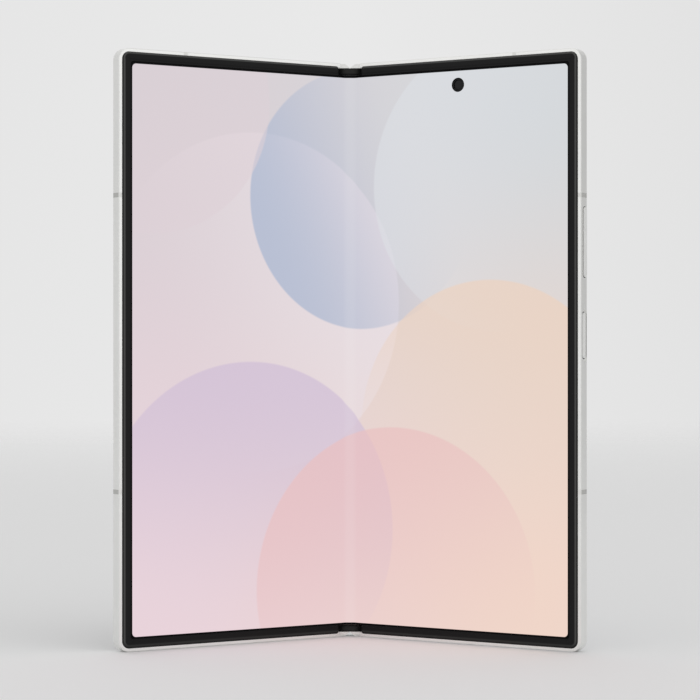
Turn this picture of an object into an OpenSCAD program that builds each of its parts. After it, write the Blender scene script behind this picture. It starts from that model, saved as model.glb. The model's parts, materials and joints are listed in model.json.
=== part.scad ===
// Book-style foldable smartphone, partly open and standing on its lower edge.
// X runs across the phone, Y away from the main screen, Z up along the hinge.
// Leaf parts are drawn as a leaf lying face up with the hinge line at x = 0,
// and are then stood up, turned about the fold axis and, for the left leaf, mirrored.
// Depth is always counted from the front of the bezel towards the back.

/* [Leaves] */
// Width of one leaf, from the hinge centre line to its outer edge
leaf_w = 71.6; // [70:0.1:80]
// Height of the phone, along the hinge
body_h = 158.4; // [156:0.1:172]
// Thickness of one leaf, from the bezel front to the rear glass
leaf_t = 4.2; // [4.2:0.1:5]
// Radius of a leaf's two outer corners, seen from the front
corner_r = 3; // [2.4:0.1:5]
// Width of the bevel on a leaf's two corners beside the hinge
notch_bevel = 1.3; // [0.8:0.05:1.4]
// Width of the recess in front of an end wall, beside the hinge centre line
recess_w = 3.6; // [3:0.1:3.8]
// Depth of that recess at its outer side
recess_deep = 2.2; // [1.5:0.1:2.5]
// Rounding of a frame's outer edge at the front
front_edge_r = 0.2; // [0.1:0.05:0.3]
// Rounding of a frame's outer edge at the back
back_edge_r = 0.9; // [0.5:0.05:1.2]
// Seam between the two frames when the phone lies flat
seam = 0.2; // [0.1:0.02:0.3]
// Angle of each leaf from flat, in the pose modelled
rest_tilt = 32; // [5:1:60]

/* [Frame walls] */
// Width of the bright rim round the bezel
rim_w = 0.9; // [0.7:0.05:1.2]
// How far the rim lies behind the bezel's front
rim_drop = 0.15; // [0.05:0.05:0.25]
// Thickness of the outer walls round the inner space
wall_t = 1.6; // [1.4:0.1:2]
// Thickness of the end walls that cover the hinge
end_wall_t = 1.15; // [1:0.05:1.3]
// Thickness of the plate that carries the screen
mid_plate_t = 0.4; // [0.3:0.05:0.5]
// Thickness of the frame wall over the hinge cover
hinge_wall_t = 0.43; // [0.35:0.01:0.5]
// Width of the metal strip between the hinge and the rear glass
hinge_rail_w = 4.9; // [4.8:0.1:6]
// Inset of the rear glass from the frame's outer edges
back_rim_w = 1; // [0.95:0.05:1.4]

/* [Main screen] */
// Width of the black bezel strips
bezel_w = 2.45; // [2:0.05:3]
// Thickness of the bezel strips
bezel_t = 0.35; // [0.25:0.05:0.4]
// Distance of the bezel ends from the hinge centre line
bezel_end = 4.1; // [3.9:0.1:5]
// Thickness of the screen panel
panel_t = 0.35; // [0.3:0.05:0.4]
// Thickness of the backing plate under the screen
backing_t = 0.1; // [0.08:0.01:0.12]
// Margin from the frame's edge to the screen panel's edge
panel_inset = 1.4; // [1.2:0.1:1.8]
// Margin from the frame's end to the panel where it passes the hinge caps
fold_inset = 3.3; // [3.2:0.1:3.6]
// Half width of the strip of screen that bends
fold_half_w = 3.1; // [2.6:0.1:3.1]

/* [Inner camera] */
// Distance of the inner camera from the hinge centre line
inner_cam_x = 35.1; // [30:0.1:45]
// Distance of the inner camera from the top edge
inner_cam_drop = 7.7; // [7:0.1:10]
// Diameter of the hole in the screen for the inner camera
inner_cam_hole = 3.8; // [3.4:0.1:4.5]

/* [Rear glass and outer cameras] */
// Thickness of the rear glass and of the outer screen's glass
glass_t = 0.55; // [0.4:0.05:0.6]
// Thickness of the outer screen's panel
cover_panel_t = 0.4; // [0.3:0.05:0.5]
// Width of the camera island
island_w = 16.6; // [15.6:0.1:18]
// Spacing of the three outer cameras
camera_pitch = 15.6; // [15:0.1:16.6]
// Distance of the island from the leaf's top and outer edges
island_margin = 4.8; // [4.2:0.1:7]
// Height of the island over the rear glass
island_rise = 1.3; // [1:0.1:1.8]
// Height of the lens rings over the island
ring_rise = 0.6; // [0.4:0.1:0.8]
// Outer diameter of a lens ring
ring_d = 13.4; // [13:0.1:14]
// Diameter of a lens window
lens_d = 10.6; // [10:0.1:11]
// Width of an outer camera's body
camera_box = 11; // [10:0.1:12.5]
// Diameter of the flash window
flash_d = 4; // [3.4:0.1:5]
// Distance of the flash from the island's middle line, towards the hinge
flash_offset = 13; // [11.5:0.1:16]
// Distance of the flash below the top camera's centre
flash_drop = 4.6; // [0:0.1:12]

/* [Keys] */
// Length of the volume rocker
rocker_len = 18.6; // [16:0.1:19]
// Distance of the rocker's centre from the top edge
rocker_drop = 50.9; // [50:0.1:52.4]
// Length of the power key
power_len = 12.3; // [11:0.1:13]
// Distance of the power key's centre from the top edge
power_drop = 75.35; // [73:0.05:77]
// Width of both keys, across the frame's wall
key_w = 1.9; // [1.6:0.05:2]
// How far the rocker stands out of the frame
key_rise = 0.3; // [0.2:0.05:0.5]
// Travel of a key
key_travel = 0.25; // [0.15:0.05:0.25]
// Gap round a key
key_gap = 0.08; // [0.06:0.01:0.12]
// Spacing of the rocker's two switches
switch_pitch = 10; // [8:0.5:14]

/* [Ports] */
// Width of the charging port's opening
usb_w = 8.4; // [8.3:0.1:9]
// Height of the charging port's opening
usb_h = 2.5; // [2.4:0.05:2.5]
// Thickness of the charging port's shell
usb_shell_t = 0.15; // [0.1:0.01:0.15]
// Depth of the charging port
usb_depth = 7.3; // [6.5:0.1:8]
// Width of the card tray's face
tray_w = 14; // [13:0.5:16]
// Thickness of the card tray's face
tray_t = 1.5; // [1.4:0.1:1.6]
// Depth of the card tray behind its face
tray_len = 15; // [13:0.5:16]

/* [Inside] */
// Clearance between the hinge brackets and the parts beside them
part_gap = 1; // [0.8:0.1:1.5]
// Gap between a battery and the board over it
battery_gap = 3; // [1.5:0.1:5]
// Height of the bay under the batteries
lower_bay_h = 22.4; // [21:0.1:26]
// Height of the board in the left leaf
left_board_h = 24.8; // [20:0.1:30]
// Thickness of the boards
board_t = 0.6; // [0.5:0.05:0.8]
// Width of the loudspeaker
speaker_w = 15; // [13:0.5:17]
// Height of the loudspeaker
speaker_h = 10.8; // [9:0.1:14]
// Width of the vibration motor
motor_w = 11; // [9:0.5:12]
// Height of the vibration motor
motor_h = 12.4; // [10:0.1:14]
// Outer radius of the charging coil
coil_r = 22; // [18:0.5:24]
// Inner radius of the charging coil
coil_in_r = 11; // [8:0.5:14]
// Width of the antenna breaks
break_w = 1.2; // [1:0.1:1.6]
// Distance of the upper side antenna break from the top edge
break_inset = 38.6; // [37:0.1:40]
// Distance of the lower side antenna break from the lower edge
break_low = 42; // [38:0.1:48]

/* [Hinge] */
// Distance of each fold axis from the centre line
pivot_x = 1.375; // [1.3:0.025:1.45]
// Gap between the two bezels when the phone is shut
closed_gap = 0.5; // [0.4:0.05:0.6]
// Running gap round the hinge cover
cover_gap = 0.1; // [0.08:0.01:0.14]
// Thickness of the hinge cover's sheet
cover_t = 0.25; // [0.2:0.01:0.3]
// Depth of the hinge cover's front edges
cover_front = 1.5; // [1.45:0.05:1.6]
// Half width of the end caps between the bezels
cap_half_w = 3.05; // [2.8:0.05:3.1]
// Height of an end cap along the hinge
cap_h = 1.85; // [1.6:0.05:2]
// Pitch radius of the four synchronising gears
gear_r = 0.75; // [0.72:0.01:0.76]
// Depth of the row of gears
gear_d = 2.2; // [2.15:0.01:2.22]
// Teeth of each gear
gear_teeth = 10; // [8:2:10]
// Radius of the gear shafts
shaft_r = 0.3; // [0.25:0.01:0.32]
// Running gap of gears, pins and rails
run_gap = 0.03; // [0.02:0.01:0.04]
// Inner radius of the arc rails
rail_in_r = 1.45; // [1.42:0.01:1.5]
// Thickness of the arc rails
rail_t = 0.55; // [0.4:0.01:0.6]
// Width of an arc rail along the hinge
rail_w = 4; // [3:0.1:4.2]
// Length of a hinge module
module_h = 26.8; // [26.8:0.1:30]
// Distance of the hinge modules from the phone's ends
module_inset = 23.6; // [20:0.1:30]

/* [Hidden] */
$fn = 64;
eps = 1;

// Depths of the layers, counted from the front of the bezel
panel_d = bezel_t;
backing_d = panel_d + panel_t;
plate_d = backing_d + backing_t;
inside_d = plate_d + mid_plate_t;
glass_d = leaf_t - glass_t;
cover_panel_d = glass_d - cover_panel_t;

// Fold axes and hinge cover
pivot_d = pivot_x - closed_gap / 2;
cavity_r = leaf_t - hinge_wall_t - pivot_d;
cover_r = cavity_r - cover_gap;
cover_in_r = cover_r - cover_t;
notch_guard_r = pivot_x - seam / 4;
shut_angle = 90;

// Middle of the modelled pose, so that the origin lies under the part's middle
function turned_y(x, d) =
    pivot_d - (x - pivot_x) * sin(rest_tilt) + (d - pivot_d) * cos(rest_tilt);
front_y = turned_y(leaf_w, rim_drop);
back_y = turned_y(seam / 2, leaf_t);
y_shift = -(front_y + back_y) / 2;

// Stations inside a hinge module, from its end nearer the middle of the phone
rail_a = 0.6;
rail_b = 5.2;
gear_z0 = 10.2;
gear_w = 1.6;
arm_w = 1.3;
arm_z0 = gear_z0 + gear_w;
gear_z1 = arm_z0 + arm_w + 0.1;
spring_z0 = gear_z1 + 0.5;
spring_z1 = spring_z0 + 3.4;
rail_c = spring_z1 + 0.5;
rail_d = rail_c + rail_w + 0.6;
module_z = body_h - module_inset - module_h;
arm_x = 3 * gear_r;
arm_reach_x = arm_x - pivot_x;
arm_reach_d = gear_d - pivot_d;
arm_swing_r = sqrt(arm_reach_x * arm_reach_x + arm_reach_d * arm_reach_d);
arm_swing_start = atan2(arm_reach_d, arm_reach_x);
arm_pin_x = 7.4;
arm_pin_d = 1.95;
arm_pin_r = 0.25;
pin_overhang = 0.85;
arm_neck_d = 1.05;
arm_neck_t = 0.35;
arm_half_w = 0.45;
arm_shoulder = 0.75;
arm_boss_r = 0.35;
cheek_w = 0.8;
cheek_gap = 0.15;
cheek_d = 1.2;
rail_neck_d = plate_d + 0.05;
rail_neck_t = 0.5;
rail_lap = 0.025;
rail_start = -8;
rail_sweep = 158;
groove_play = 15;
bracket_x = 8.2;
bracket_w = 4.8;
bracket_back_d = 3;
bracket_lap = 0.1;
rail_web_x = bracket_x - 2.7;
rail_web_w = 0.7;
rail_foot_t = 0.6;
cheek_x = bracket_x - 3.45;
window_x = bracket_x + 0.6;
window_gap = 0.2;

// Gears, shafts and springs
gear_tip_r = gear_r + 0.09;
gear_root_r = gear_r - 0.15;
tooth_root_half = 95 / gear_teeth;
tooth_tip_half = 35 / gear_teeth;
shaft_z0 = gear_z0 - 0.8;
shaft_len = spring_z1 + 0.45 - shaft_z0;
shaft_fit = 0.01;
washers = 6;
washer_r = 0.62;
washer_neck_r = 0.44;
washer_edge = 0.12;

// Screws
screw_r = 0.5;
screw_gap = 0.05;
screw_head_r = 0.95;
screw_inset = 3;
bracket_screw_x = bracket_x + 2.9;
bracket_screw_z = [screw_inset, module_h / 2, module_h - screw_inset];
bracket_head_t = 0.2;
hinge_screw_len = 0.9;
hinge_head_t = 0.35;
hinge_screw_gap = 1.5;

// End caps and the cable inside the hinge cover
cap_step = 0.25;
cap_step_w = 0.7;
cap_step_h = 0.3;
cap_ridge_t = 0.5;
flex_w = 26;
flex_t = 0.12;
cover_fit = 0.01;

// Places on both leaves; the outer camera of the left leaf sits in the middle of its glass
inner_x0 = bracket_x + bracket_w + part_gap;
mid_d = (plate_d + glass_d) / 2;
panel_corner_r = 0.6;
bezel_r = 0.8;
glass_gap = 0.05;
skin_gap = 0.1;
battery_z0 = wall_t + lower_bay_h;
battery_r = 1.2;
coil_t = 0.3;
mic_r = 0.45;
sound_r = 0.6;
sound_pitch = 2;
cover_cam_x = (hinge_rail_w + leaf_w - back_rim_w) / 2;
cover_cam_z = body_h - 8;
cover_cam_box = 6;
cover_cam_r = 1.7;
earpiece_x = cover_cam_x + cover_cam_box / 2 + 2.6;
earpiece_h = 4.5;
break_gap = 2.45;
break_x = earpiece_x + 3 * sound_pitch + break_gap;
break_z = [break_low, body_h - break_inset];

// Places on the left leaf
tray_x = inner_x0 + tray_w / 2;
tray_half_t = 0.45;
tray_side = 0.6;
tray_gap = 0.1;
eject_r = 0.4;
eject_in = 1.6;
reader_z0 = body_h - wall_t - tray_len - tray_side;
left_board_z1 = reader_z0 - 1.4;
left_board_z0 = left_board_z1 - left_board_h;
left_mic_x = tray_x + tray_w / 2 + 4;

// Places on the right leaf
cam_x = leaf_w - island_margin - island_w / 2;
cam_top = body_h - island_margin - island_w / 2;
cam_low_z = cam_top - 2 * camera_pitch - camera_box / 2;
flash_x = cam_x - flash_offset;
flash_z = cam_top - flash_drop;
board_z0 = cam_low_z - 4.6;
board_x1 = cam_x - camera_box / 2 - 1.7;
can_gap = 1.5;
camera_bore = lens_d - 0.6;
barrel_d = leaf_t + island_rise - 0.3;
ring_edge = 0.25;
inner_cam_z = body_h - inner_cam_drop;
inner_cam_box = 6.4;
inner_lens_d = inner_cam_hole - 0.6;
port_x = leaf_w / 2;
port_side = 9;
speaker_x = break_x + break_gap;
port_gap = 0.02;
tongue_t = 0.7;
rocker_z = body_h - rocker_drop;
power_z = body_h - power_drop;

// Keys and their switches, from the wall inwards
flange_t = 0.35;
key_sink = 0.1;
nub_r = 0.45;
dome_r = 0.85;
dome_t = 0.25;
strip_t = 0.2;
strip_w = 1.8;
strip_end = 7;
rib_t = 0.6;
rib_back_d = 3.1;
switch_wall_x = leaf_w - wall_t - 2;
scoop_depth = 0.25;
scoop_gap = 0.25;
scoop_end = 0.95;

// Frames of reference

// Turns the children about an upright axis
module turn_about(x, y, angle) {
    translate([x, y, 0]) rotate([0, 0, angle]) translate([-x, -y, 0]) children();
}

// Shifts parts of the hinge cover, drawn upright, to the phone's place
module on_spine() {
    translate([0, y_shift, 0]) children();
}

// Places upright parts of the right leaf at the modelled angle
module on_right_leaf() {
    on_spine() turn_about(pivot_x, pivot_d, -rest_tilt) children();
}

// Places upright parts of the left leaf, drawn as if for the right one
module on_left_leaf() {
    mirror([1, 0, 0]) on_right_leaf() children();
}

// Stands up a part that is drawn lying face up
module stand() {
    rotate([90, 0, 0]) children();
}

// A flat layer of a lying leaf between two depths
module layer(d0, d1) {
    translate([0, 0, -d1]) linear_extrude(d1 - d0) children();
}

// A profile in x and depth, drawn out along the hinge
module along_hinge(z0, z1) {
    translate([0, 0, z0]) linear_extrude(z1 - z0) children();
}

// Repeats a part of the upper hinge module at the lower one
module at_bottom() {
    translate([0, 0, body_h]) mirror([0, 0, 1]) children();
}

module top_and_bottom() {
    children();
    at_bottom() children();
}

// Plane outlines

// A rectangle with its own radius on the left and on the right pair of corners
module plate_outline(x0, x1, z0, z1, r_left, r_right) {
    translate([x0 + r_left, z0]) square([x1 - x0 - r_left - r_right, z1 - z0]);
    if (r_left > 0) {
        translate([x0, z0 + r_left]) square([r_left, z1 - z0 - 2 * r_left]);
        translate([x0 + r_left, z0 + r_left]) circle(r_left);
        translate([x0 + r_left, z1 - r_left]) circle(r_left);
    }
    if (r_right > 0) {
        translate([x1 - r_right, z0 + r_right]) square([r_right, z1 - z0 - 2 * r_right]);
        translate([x1 - r_right, z0 + r_right]) circle(r_right);
        translate([x1 - r_right, z1 - r_right]) circle(r_right);
    }
}

// A rounded rectangle about its centre
module pad_outline(x, z, w, h, r) {
    plate_outline(x - w / 2, x + w / 2, z - h / 2, z + h / 2, r, r);
}

// A slot with round ends
module slot_outline(w, h) {
    r = min(w, h) / 2;
    square([w - (w >= h ? 2 * r : 0), h - (h > w ? 2 * r : 0)], center = true);
    for (s = [-1, 1])
        translate(w >= h ? [s * (w / 2 - r), 0] : [0, s * (h / 2 - r)]) circle(r);
}

// Half section of a leaf's edge: a small round at the front, a large one at the back
module edge_profile(w) {
    translate([0, -leaf_t]) square([w - back_edge_r, leaf_t - rim_drop]);
    translate([0, -leaf_t + back_edge_r])
        square([w, leaf_t - back_edge_r - rim_drop - front_edge_r]);
    translate([0, -leaf_t + back_edge_r])
        square([w - front_edge_r, leaf_t - back_edge_r - rim_drop]);
    translate([w - back_edge_r, -leaf_t + back_edge_r]) circle(back_edge_r);
    translate([w - front_edge_r, -rim_drop - front_edge_r]) circle(front_edge_r);
}

// Section of the hinge cover at a radius about the two fold axes
module spine_section(r, front_d) {
    intersection() {
        union() {
            for (s = [-1, 1]) translate([s * pivot_x, pivot_d]) circle(r);
            translate([-pivot_x, pivot_d]) square([2 * pivot_x, r]);
        }
        translate([-leaf_w, front_d]) square([2 * leaf_w, leaf_t]);
    }
}

// Leaf frame

// The solid body of a leaf, lying face up, before it is hollowed
module leaf_body() {
    long_w = leaf_w - corner_r - seam / 2;
    translate([seam / 2, body_h / 2, 0]) rotate([90, 0, 90]) linear_extrude(long_w) {
        edge_profile(body_h / 2);
        mirror([1, 0]) edge_profile(body_h / 2);
    }
    translate([leaf_w - corner_r, body_h - corner_r, 0]) rotate([90, 0, 0])
        linear_extrude(body_h - 2 * corner_r) edge_profile(corner_r);
    translate([leaf_w - corner_r, body_h - corner_r, 0])
        rotate_extrude(angle = 90) edge_profile(corner_r);
    translate([leaf_w - corner_r, corner_r, 0])
        rotate_extrude(angle = 90, start = -90) edge_profile(corner_r);
}

// What is cut from a corner beside the hinge to bevel it
module notch_corner() {
    layer(-eps, leaf_t + eps)
        polygon([[-eps, -eps], [notch_bevel + eps, -eps], [-eps, notch_bevel + eps]]);
}

// The space round the hinge cover, the rounding of the frame's edge towards the other leaf,
// and the slope of the end walls' fronts, which leaves room before the hinge
module hinge_space() {
    hinge_h = body_h - 2 * end_wall_t;
    translate([0, body_h - end_wall_t, 0]) rotate([90, 0, 0]) linear_extrude(hinge_h) {
        translate([pivot_x, -pivot_d]) circle(cavity_r);
        translate([-eps, -pivot_d - cavity_r]) square([eps + pivot_x, cavity_r + pivot_d + eps]);
        translate([-eps, -pivot_d]) square([eps + pivot_x + cavity_r, pivot_d + eps]);
    }
    translate([0, body_h + eps, 0]) rotate([90, 0, 0]) linear_extrude(body_h + 2 * eps)
        difference() {
            translate([-eps, -pivot_d]) square([pivot_x + eps, pivot_d + eps]);
            translate([pivot_x, -pivot_d]) circle(notch_guard_r);
        }
    translate([0, body_h + eps, 0]) rotate([90, 0, 0]) linear_extrude(body_h + 2 * eps)
        polygon([[0, eps], [recess_w, eps], [recess_w, -recess_deep], [0, -rim_drop]]);
}

// The windows through which brackets and swing arms reach into the hinge
module bracket_windows() {
    for (z = [module_z, module_inset])
        translate([seam, z - window_gap, -leaf_t + 2 * hinge_wall_t])
            cube([window_x - seam, module_h + 2 * window_gap, leaf_t]);
}

// A leaf's frame with everything that both leaves share
module frame_blank(pocket_d) {
    difference() {
        leaf_body();
        translate([seam / 2, 0, 0]) notch_corner();
        translate([seam / 2, body_h, 0]) mirror([0, 1, 0]) notch_corner();
        hinge_space();
        layer(-eps, plate_d)
            plate_outline(bezel_end - skin_gap, leaf_w - rim_w, rim_w, body_h - rim_w,
                bezel_r, corner_r - rim_w);
        layer(inside_d, pocket_d + 0.05)
            plate_outline(hinge_rail_w + 0.9, leaf_w - wall_t, wall_t, body_h - wall_t, 1, 1.4);
        layer(pocket_d, leaf_t + eps)
            plate_outline(hinge_rail_w, leaf_w - back_rim_w, back_rim_w, body_h - back_rim_w,
                0.4, corner_r - back_rim_w);
        bracket_windows();
        for (z = [module_z, module_inset]) screw_places(z)
            translate([0, 0, -leaf_t]) cylinder(r = screw_r, h = leaf_t);
    }
}

// The strips of frame that the plastic antenna breaks replace
module break_strips() {
    for (z = break_z)
        translate([leaf_w - wall_t, z - break_w / 2, -leaf_t - eps])
            cube([wall_t + eps, break_w, leaf_t + 2 * eps]);
    for (z = [-eps, body_h - wall_t])
        translate([break_x - break_w / 2, z, -leaf_t - eps])
            cube([break_w, wall_t + eps, leaf_t + 2 * eps]);
}

module antenna_breaks(pocket_d) {
    color("#b4b4b2") intersection() {
        frame_blank(pocket_d);
        break_strips();
    }
}

// Small holes of the microphones in the top and bottom walls
module mic_hole(x, z) {
    translate([x, z, -mid_d]) rotate([90, 0, 0])
        cylinder(r = mic_r, h = 2 * wall_t + eps, center = true);
}

// A row of sound holes through a top or bottom wall
module sound_holes(x, z, count) {
    for (i = [0:count - 1])
        translate([x + i * sound_pitch, z, -mid_d]) rotate([90, 0, 0])
            cylinder(r = sound_r, h = 2 * wall_t + eps, center = true);
}

// Hinge side of a leaf

// The three screw places of a bracket, in a lying leaf
module screw_places(z) {
    for (s = bracket_screw_z) translate([bracket_screw_x, z + s, 0]) children();
}

// Round tongue that runs in the hinge block's groove, with its neck and plate
module rail(z, w) {
    translate([pivot_x, pivot_d, z]) rotate_extrude(angle = rail_sweep, start = rail_start)
        translate([rail_in_r, 0]) square([rail_t, w]);
    neck_x = pivot_x + rail_in_r - rail_lap;
    along_hinge(z, z + w) {
        translate([neck_x, rail_neck_d]) square([rail_web_x + rail_web_w - neck_x, rail_neck_t]);
        translate([rail_web_x, rail_neck_d]) square([rail_web_w, bracket_back_d - rail_neck_d]);
        translate([rail_web_x, bracket_back_d - rail_foot_t])
            square([bracket_x + bracket_lap - rail_web_x, rail_foot_t]);
    }
}

// Side plate with the arc slot in which the swing arm's pin runs
module slot_cheek(z, w) {
    slot_r = arm_pin_r + run_gap;
    difference() {
        along_hinge(z, z + w) translate([cheek_x, cheek_d])
            square([bracket_x + bracket_lap - cheek_x, bracket_back_d - cheek_d]);
        translate([arm_pin_x - arm_reach_x, arm_pin_d - arm_reach_d, z - eps]) {
            rotate_extrude(angle = shut_angle, start = arm_swing_start)
                translate([arm_swing_r - slot_r, 0]) square([2 * slot_r, w + 2 * eps]);
            for (a = [0, shut_angle]) rotate([0, 0, arm_swing_start + a])
                translate([arm_swing_r, 0, 0]) cylinder(r = slot_r, h = w + 2 * eps);
        }
    }
}

// Bracket of one leaf in the upper hinge module
module hinge_bracket(first_rail, second_rail) {
    color("#8f9296") {
        difference() {
            along_hinge(module_z, module_z + module_h)
                translate([bracket_x, inside_d]) square([bracket_w, bracket_back_d - inside_d]);
            stand() screw_places(module_z) translate([0, 0, -leaf_t])
                cylinder(r = screw_r + screw_gap, h = leaf_t);
        }
        rail(module_z + first_rail, rail_w);
        rail(module_z + second_rail, rail_w);
        slot_cheek(module_z + arm_z0 - cheek_gap - cheek_w, cheek_w);
        slot_cheek(module_z + arm_z0 + arm_w + cheek_gap, cheek_w);
    }
}

// Screws that hold the brackets on a leaf's plate
module bracket_screws() {
    color("#6f7276") stand() for (z = [module_z, module_inset]) screw_places(z) {
        translate([0, 0, -bracket_back_d]) cylinder(r = screw_r, h = bracket_back_d - plate_d);
        translate([0, 0, -bracket_back_d - bracket_head_t])
            cylinder(r = screw_head_r, h = bracket_head_t);
    }
}

// Screen

// Screen panel or backing plate of a leaf, narrowed where it passes the hinge caps
module panel_outline(x0) {
    plate_outline(bezel_end - 1, leaf_w - panel_inset, panel_inset, body_h - panel_inset,
        panel_corner_r, corner_r - panel_inset);
    translate([x0, fold_inset]) square([bezel_end - x0, body_h - 2 * fold_inset]);
}

module screen_outline(x0) {
    difference() {
        panel_outline(x0);
        for (z = [0, body_h - fold_inset]) translate([0, z]) square([bezel_end, fold_inset]);
    }
}

// Bezel: a strip along the three outer sides, open towards the hinge
module bezel() {
    inner_x = leaf_w - rim_w - bezel_w;
    color("#222323") stand() layer(0, bezel_t) difference() {
        plate_outline(bezel_end, leaf_w - rim_w, rim_w, body_h - rim_w, bezel_r, corner_r - rim_w);
        plate_outline(-eps, inner_x, rim_w + bezel_w, body_h - rim_w - bezel_w, 0, bezel_r);
    }
}

// The bending strip of the screen: every point turns about the fold axis by a share of the
// leaf's angle, which grows smoothly from the centre line to the leaf
function turned(p, a) = [
    pivot_x + (p[0] - pivot_x) * cos(a) + (p[1] - pivot_d) * sin(a),
    pivot_d - (p[0] - pivot_x) * sin(a) + (p[1] - pivot_d) * cos(a)
];
fold_from = [0, panel_d];
fold_to = turned([fold_half_w, panel_d], rest_tilt);
fold_line = fold_to - fold_from;
function share(p) =
    let (t = max(0, min(1, ((p - fold_from) * fold_line) / (fold_line * fold_line))))
    t * t * (3 - 2 * t);
function bent(p, w, n) = n == 0 ? turned(p, w * rest_tilt)
    : bent(p, share(turned(p, w * rest_tilt)), n - 1);
fold_steps = 14;
settle_steps = 40;
fold_points = concat(
    [for (i = [0:fold_steps]) bent([i * fold_half_w / fold_steps, panel_d], 0.5, settle_steps)],
    [for (i = [fold_steps:-1:0]) bent([i * fold_half_w / fold_steps, backing_d], 0.5, settle_steps)]
);
module screen_fold() {
    color("#c9b9c6") along_hinge(fold_inset, body_h - fold_inset) polygon(fold_points);
}

// Hinge

module hinge_cover() {
    color("#c6c8ca") on_spine() {
        along_hinge(end_wall_t + cover_gap, body_h - end_wall_t - cover_gap) difference() {
            spine_section(cover_r, cover_front);
            spine_section(cover_in_r, 0);
        }
    }
}

// End cap: fills the cover's end and stands up between the bezel ends
module hinge_cap() {
    z1 = body_h - end_wall_t - cover_gap;
    color("#26272a") on_spine() {
        along_hinge(z1 - cap_h, z1) {
            spine_section(cover_in_r, cover_front);
            translate([-cap_half_w, panel_d + cap_step])
                square([2 * cap_half_w, cover_front - panel_d]);
        }
        along_hinge(z1 - cap_h + cap_step_h, z1 - cap_step_h)
            translate([-cap_half_w + cap_step_w, panel_d])
                square([2 * (cap_half_w - cap_step_w), cap_ridge_t]);
    }
}
module hinge_cap_top() { hinge_cap(); }
module hinge_cap_bottom() { at_bottom() hinge_cap(); }

// Grooves for one leaf's rails; the other leaf's are the mirror image
module rail_grooves(stations) {
    for (z = stations)
        translate([pivot_x, pivot_d, module_z + z - run_gap])
            rotate_extrude(angle = rail_sweep + groove_play + 5, start = rail_start - groove_play)
                translate([rail_in_r - run_gap, 0])
                    square([rail_t + 2 * run_gap, rail_w + 2 * run_gap]);
}

// Steel block of one hinge module: arc grooves, and a bay for gears, arms and springs
module hinge_block() {
    bay_back = gear_d + gear_tip_r + 0.04;
    color("#7d8084") difference() {
        along_hinge(module_z, module_z + module_h)
            spine_section(cover_in_r - 2 * cover_fit, cover_front);
        rail_grooves([rail_a, rail_c]);
        mirror([1, 0, 0]) rail_grooves([rail_b, rail_d]);
        for (span = [[gear_z0 - 0.1, gear_z1], [spring_z0, spring_z1]])
            translate([-leaf_w / 2, 0, module_z + span[0]])
                cube([leaf_w, bay_back, span[1] - span[0]]);
        shaft_places() cylinder(r = shaft_r + shaft_fit, h = shaft_len);
    }
}
module hinge_block_top() { on_spine() hinge_block(); }
module hinge_block_bottom() { on_spine() at_bottom() hinge_block(); }

module shaft_places() {
    for (i = [-3, -1, 1, 3]) translate([i * gear_r, gear_d, module_z + shaft_z0]) children();
}

module gear_shafts() {
    color("#9b9ea2") on_spine() top_and_bottom() shaft_places() cylinder(r = shaft_r, h = shaft_len);
}

// Stacks of cupped spring washers that hold the phone at any angle
module friction_springs() {
    length = spring_z1 - spring_z0;
    pitch = length / washers;
    flank = [for (i = [0:washers - 1]) each [
        [washer_r, i * pitch + washer_edge],
        [washer_neck_r, (i + 1) * pitch - washer_edge]
    ]];
    color("#b08d57") on_spine() top_and_bottom() for (i = [-3, -1, 1, 3])
        translate([i * gear_r, gear_d, module_z + spring_z0]) rotate_extrude()
            polygon(concat([[shaft_r, 0], [washer_neck_r, 0]], flank,
                [[washer_neck_r, length], [shaft_r, length]]));
}

// Screws that hold the hinge blocks in the cover, from inside
module hinge_screws() {
    color("#6f7276") on_spine() top_and_bottom()
        for (z = [-hinge_screw_gap, module_h + hinge_screw_gap])
            translate([0, pivot_d + cover_in_r, module_z + z]) rotate([90, 0, 0]) {
                cylinder(r = screw_r, h = hinge_screw_len);
                translate([0, 0, hinge_screw_len]) cylinder(r = screw_head_r, h = hinge_head_t);
            }
}

// Cable between the two halves, lying along the inside of the cover
module hinge_flex_cable() {
    z0 = (body_h - flex_w) / 2;
    color("#b5762c") on_spine() along_hinge(z0, z0 + flex_w) difference() {
        spine_section(cover_in_r - cover_fit, cover_front - skin_gap);
        spine_section(cover_in_r - cover_fit - flex_t, 0);
    }
}

// Gears and swing arms

module gear_outline(phase) {
    pitch = 360 / gear_teeth;
    rotate(phase) polygon([for (i = [0:gear_teeth - 1]) each [
        for (c = [[gear_root_r, -tooth_root_half], [gear_tip_r, -tooth_tip_half],
            [gear_tip_r, tooth_tip_half], [gear_root_r, tooth_root_half]])
        c[0] * [cos(i * pitch + c[1]), sin(i * pitch + c[1])]
    ]]);
}

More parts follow.
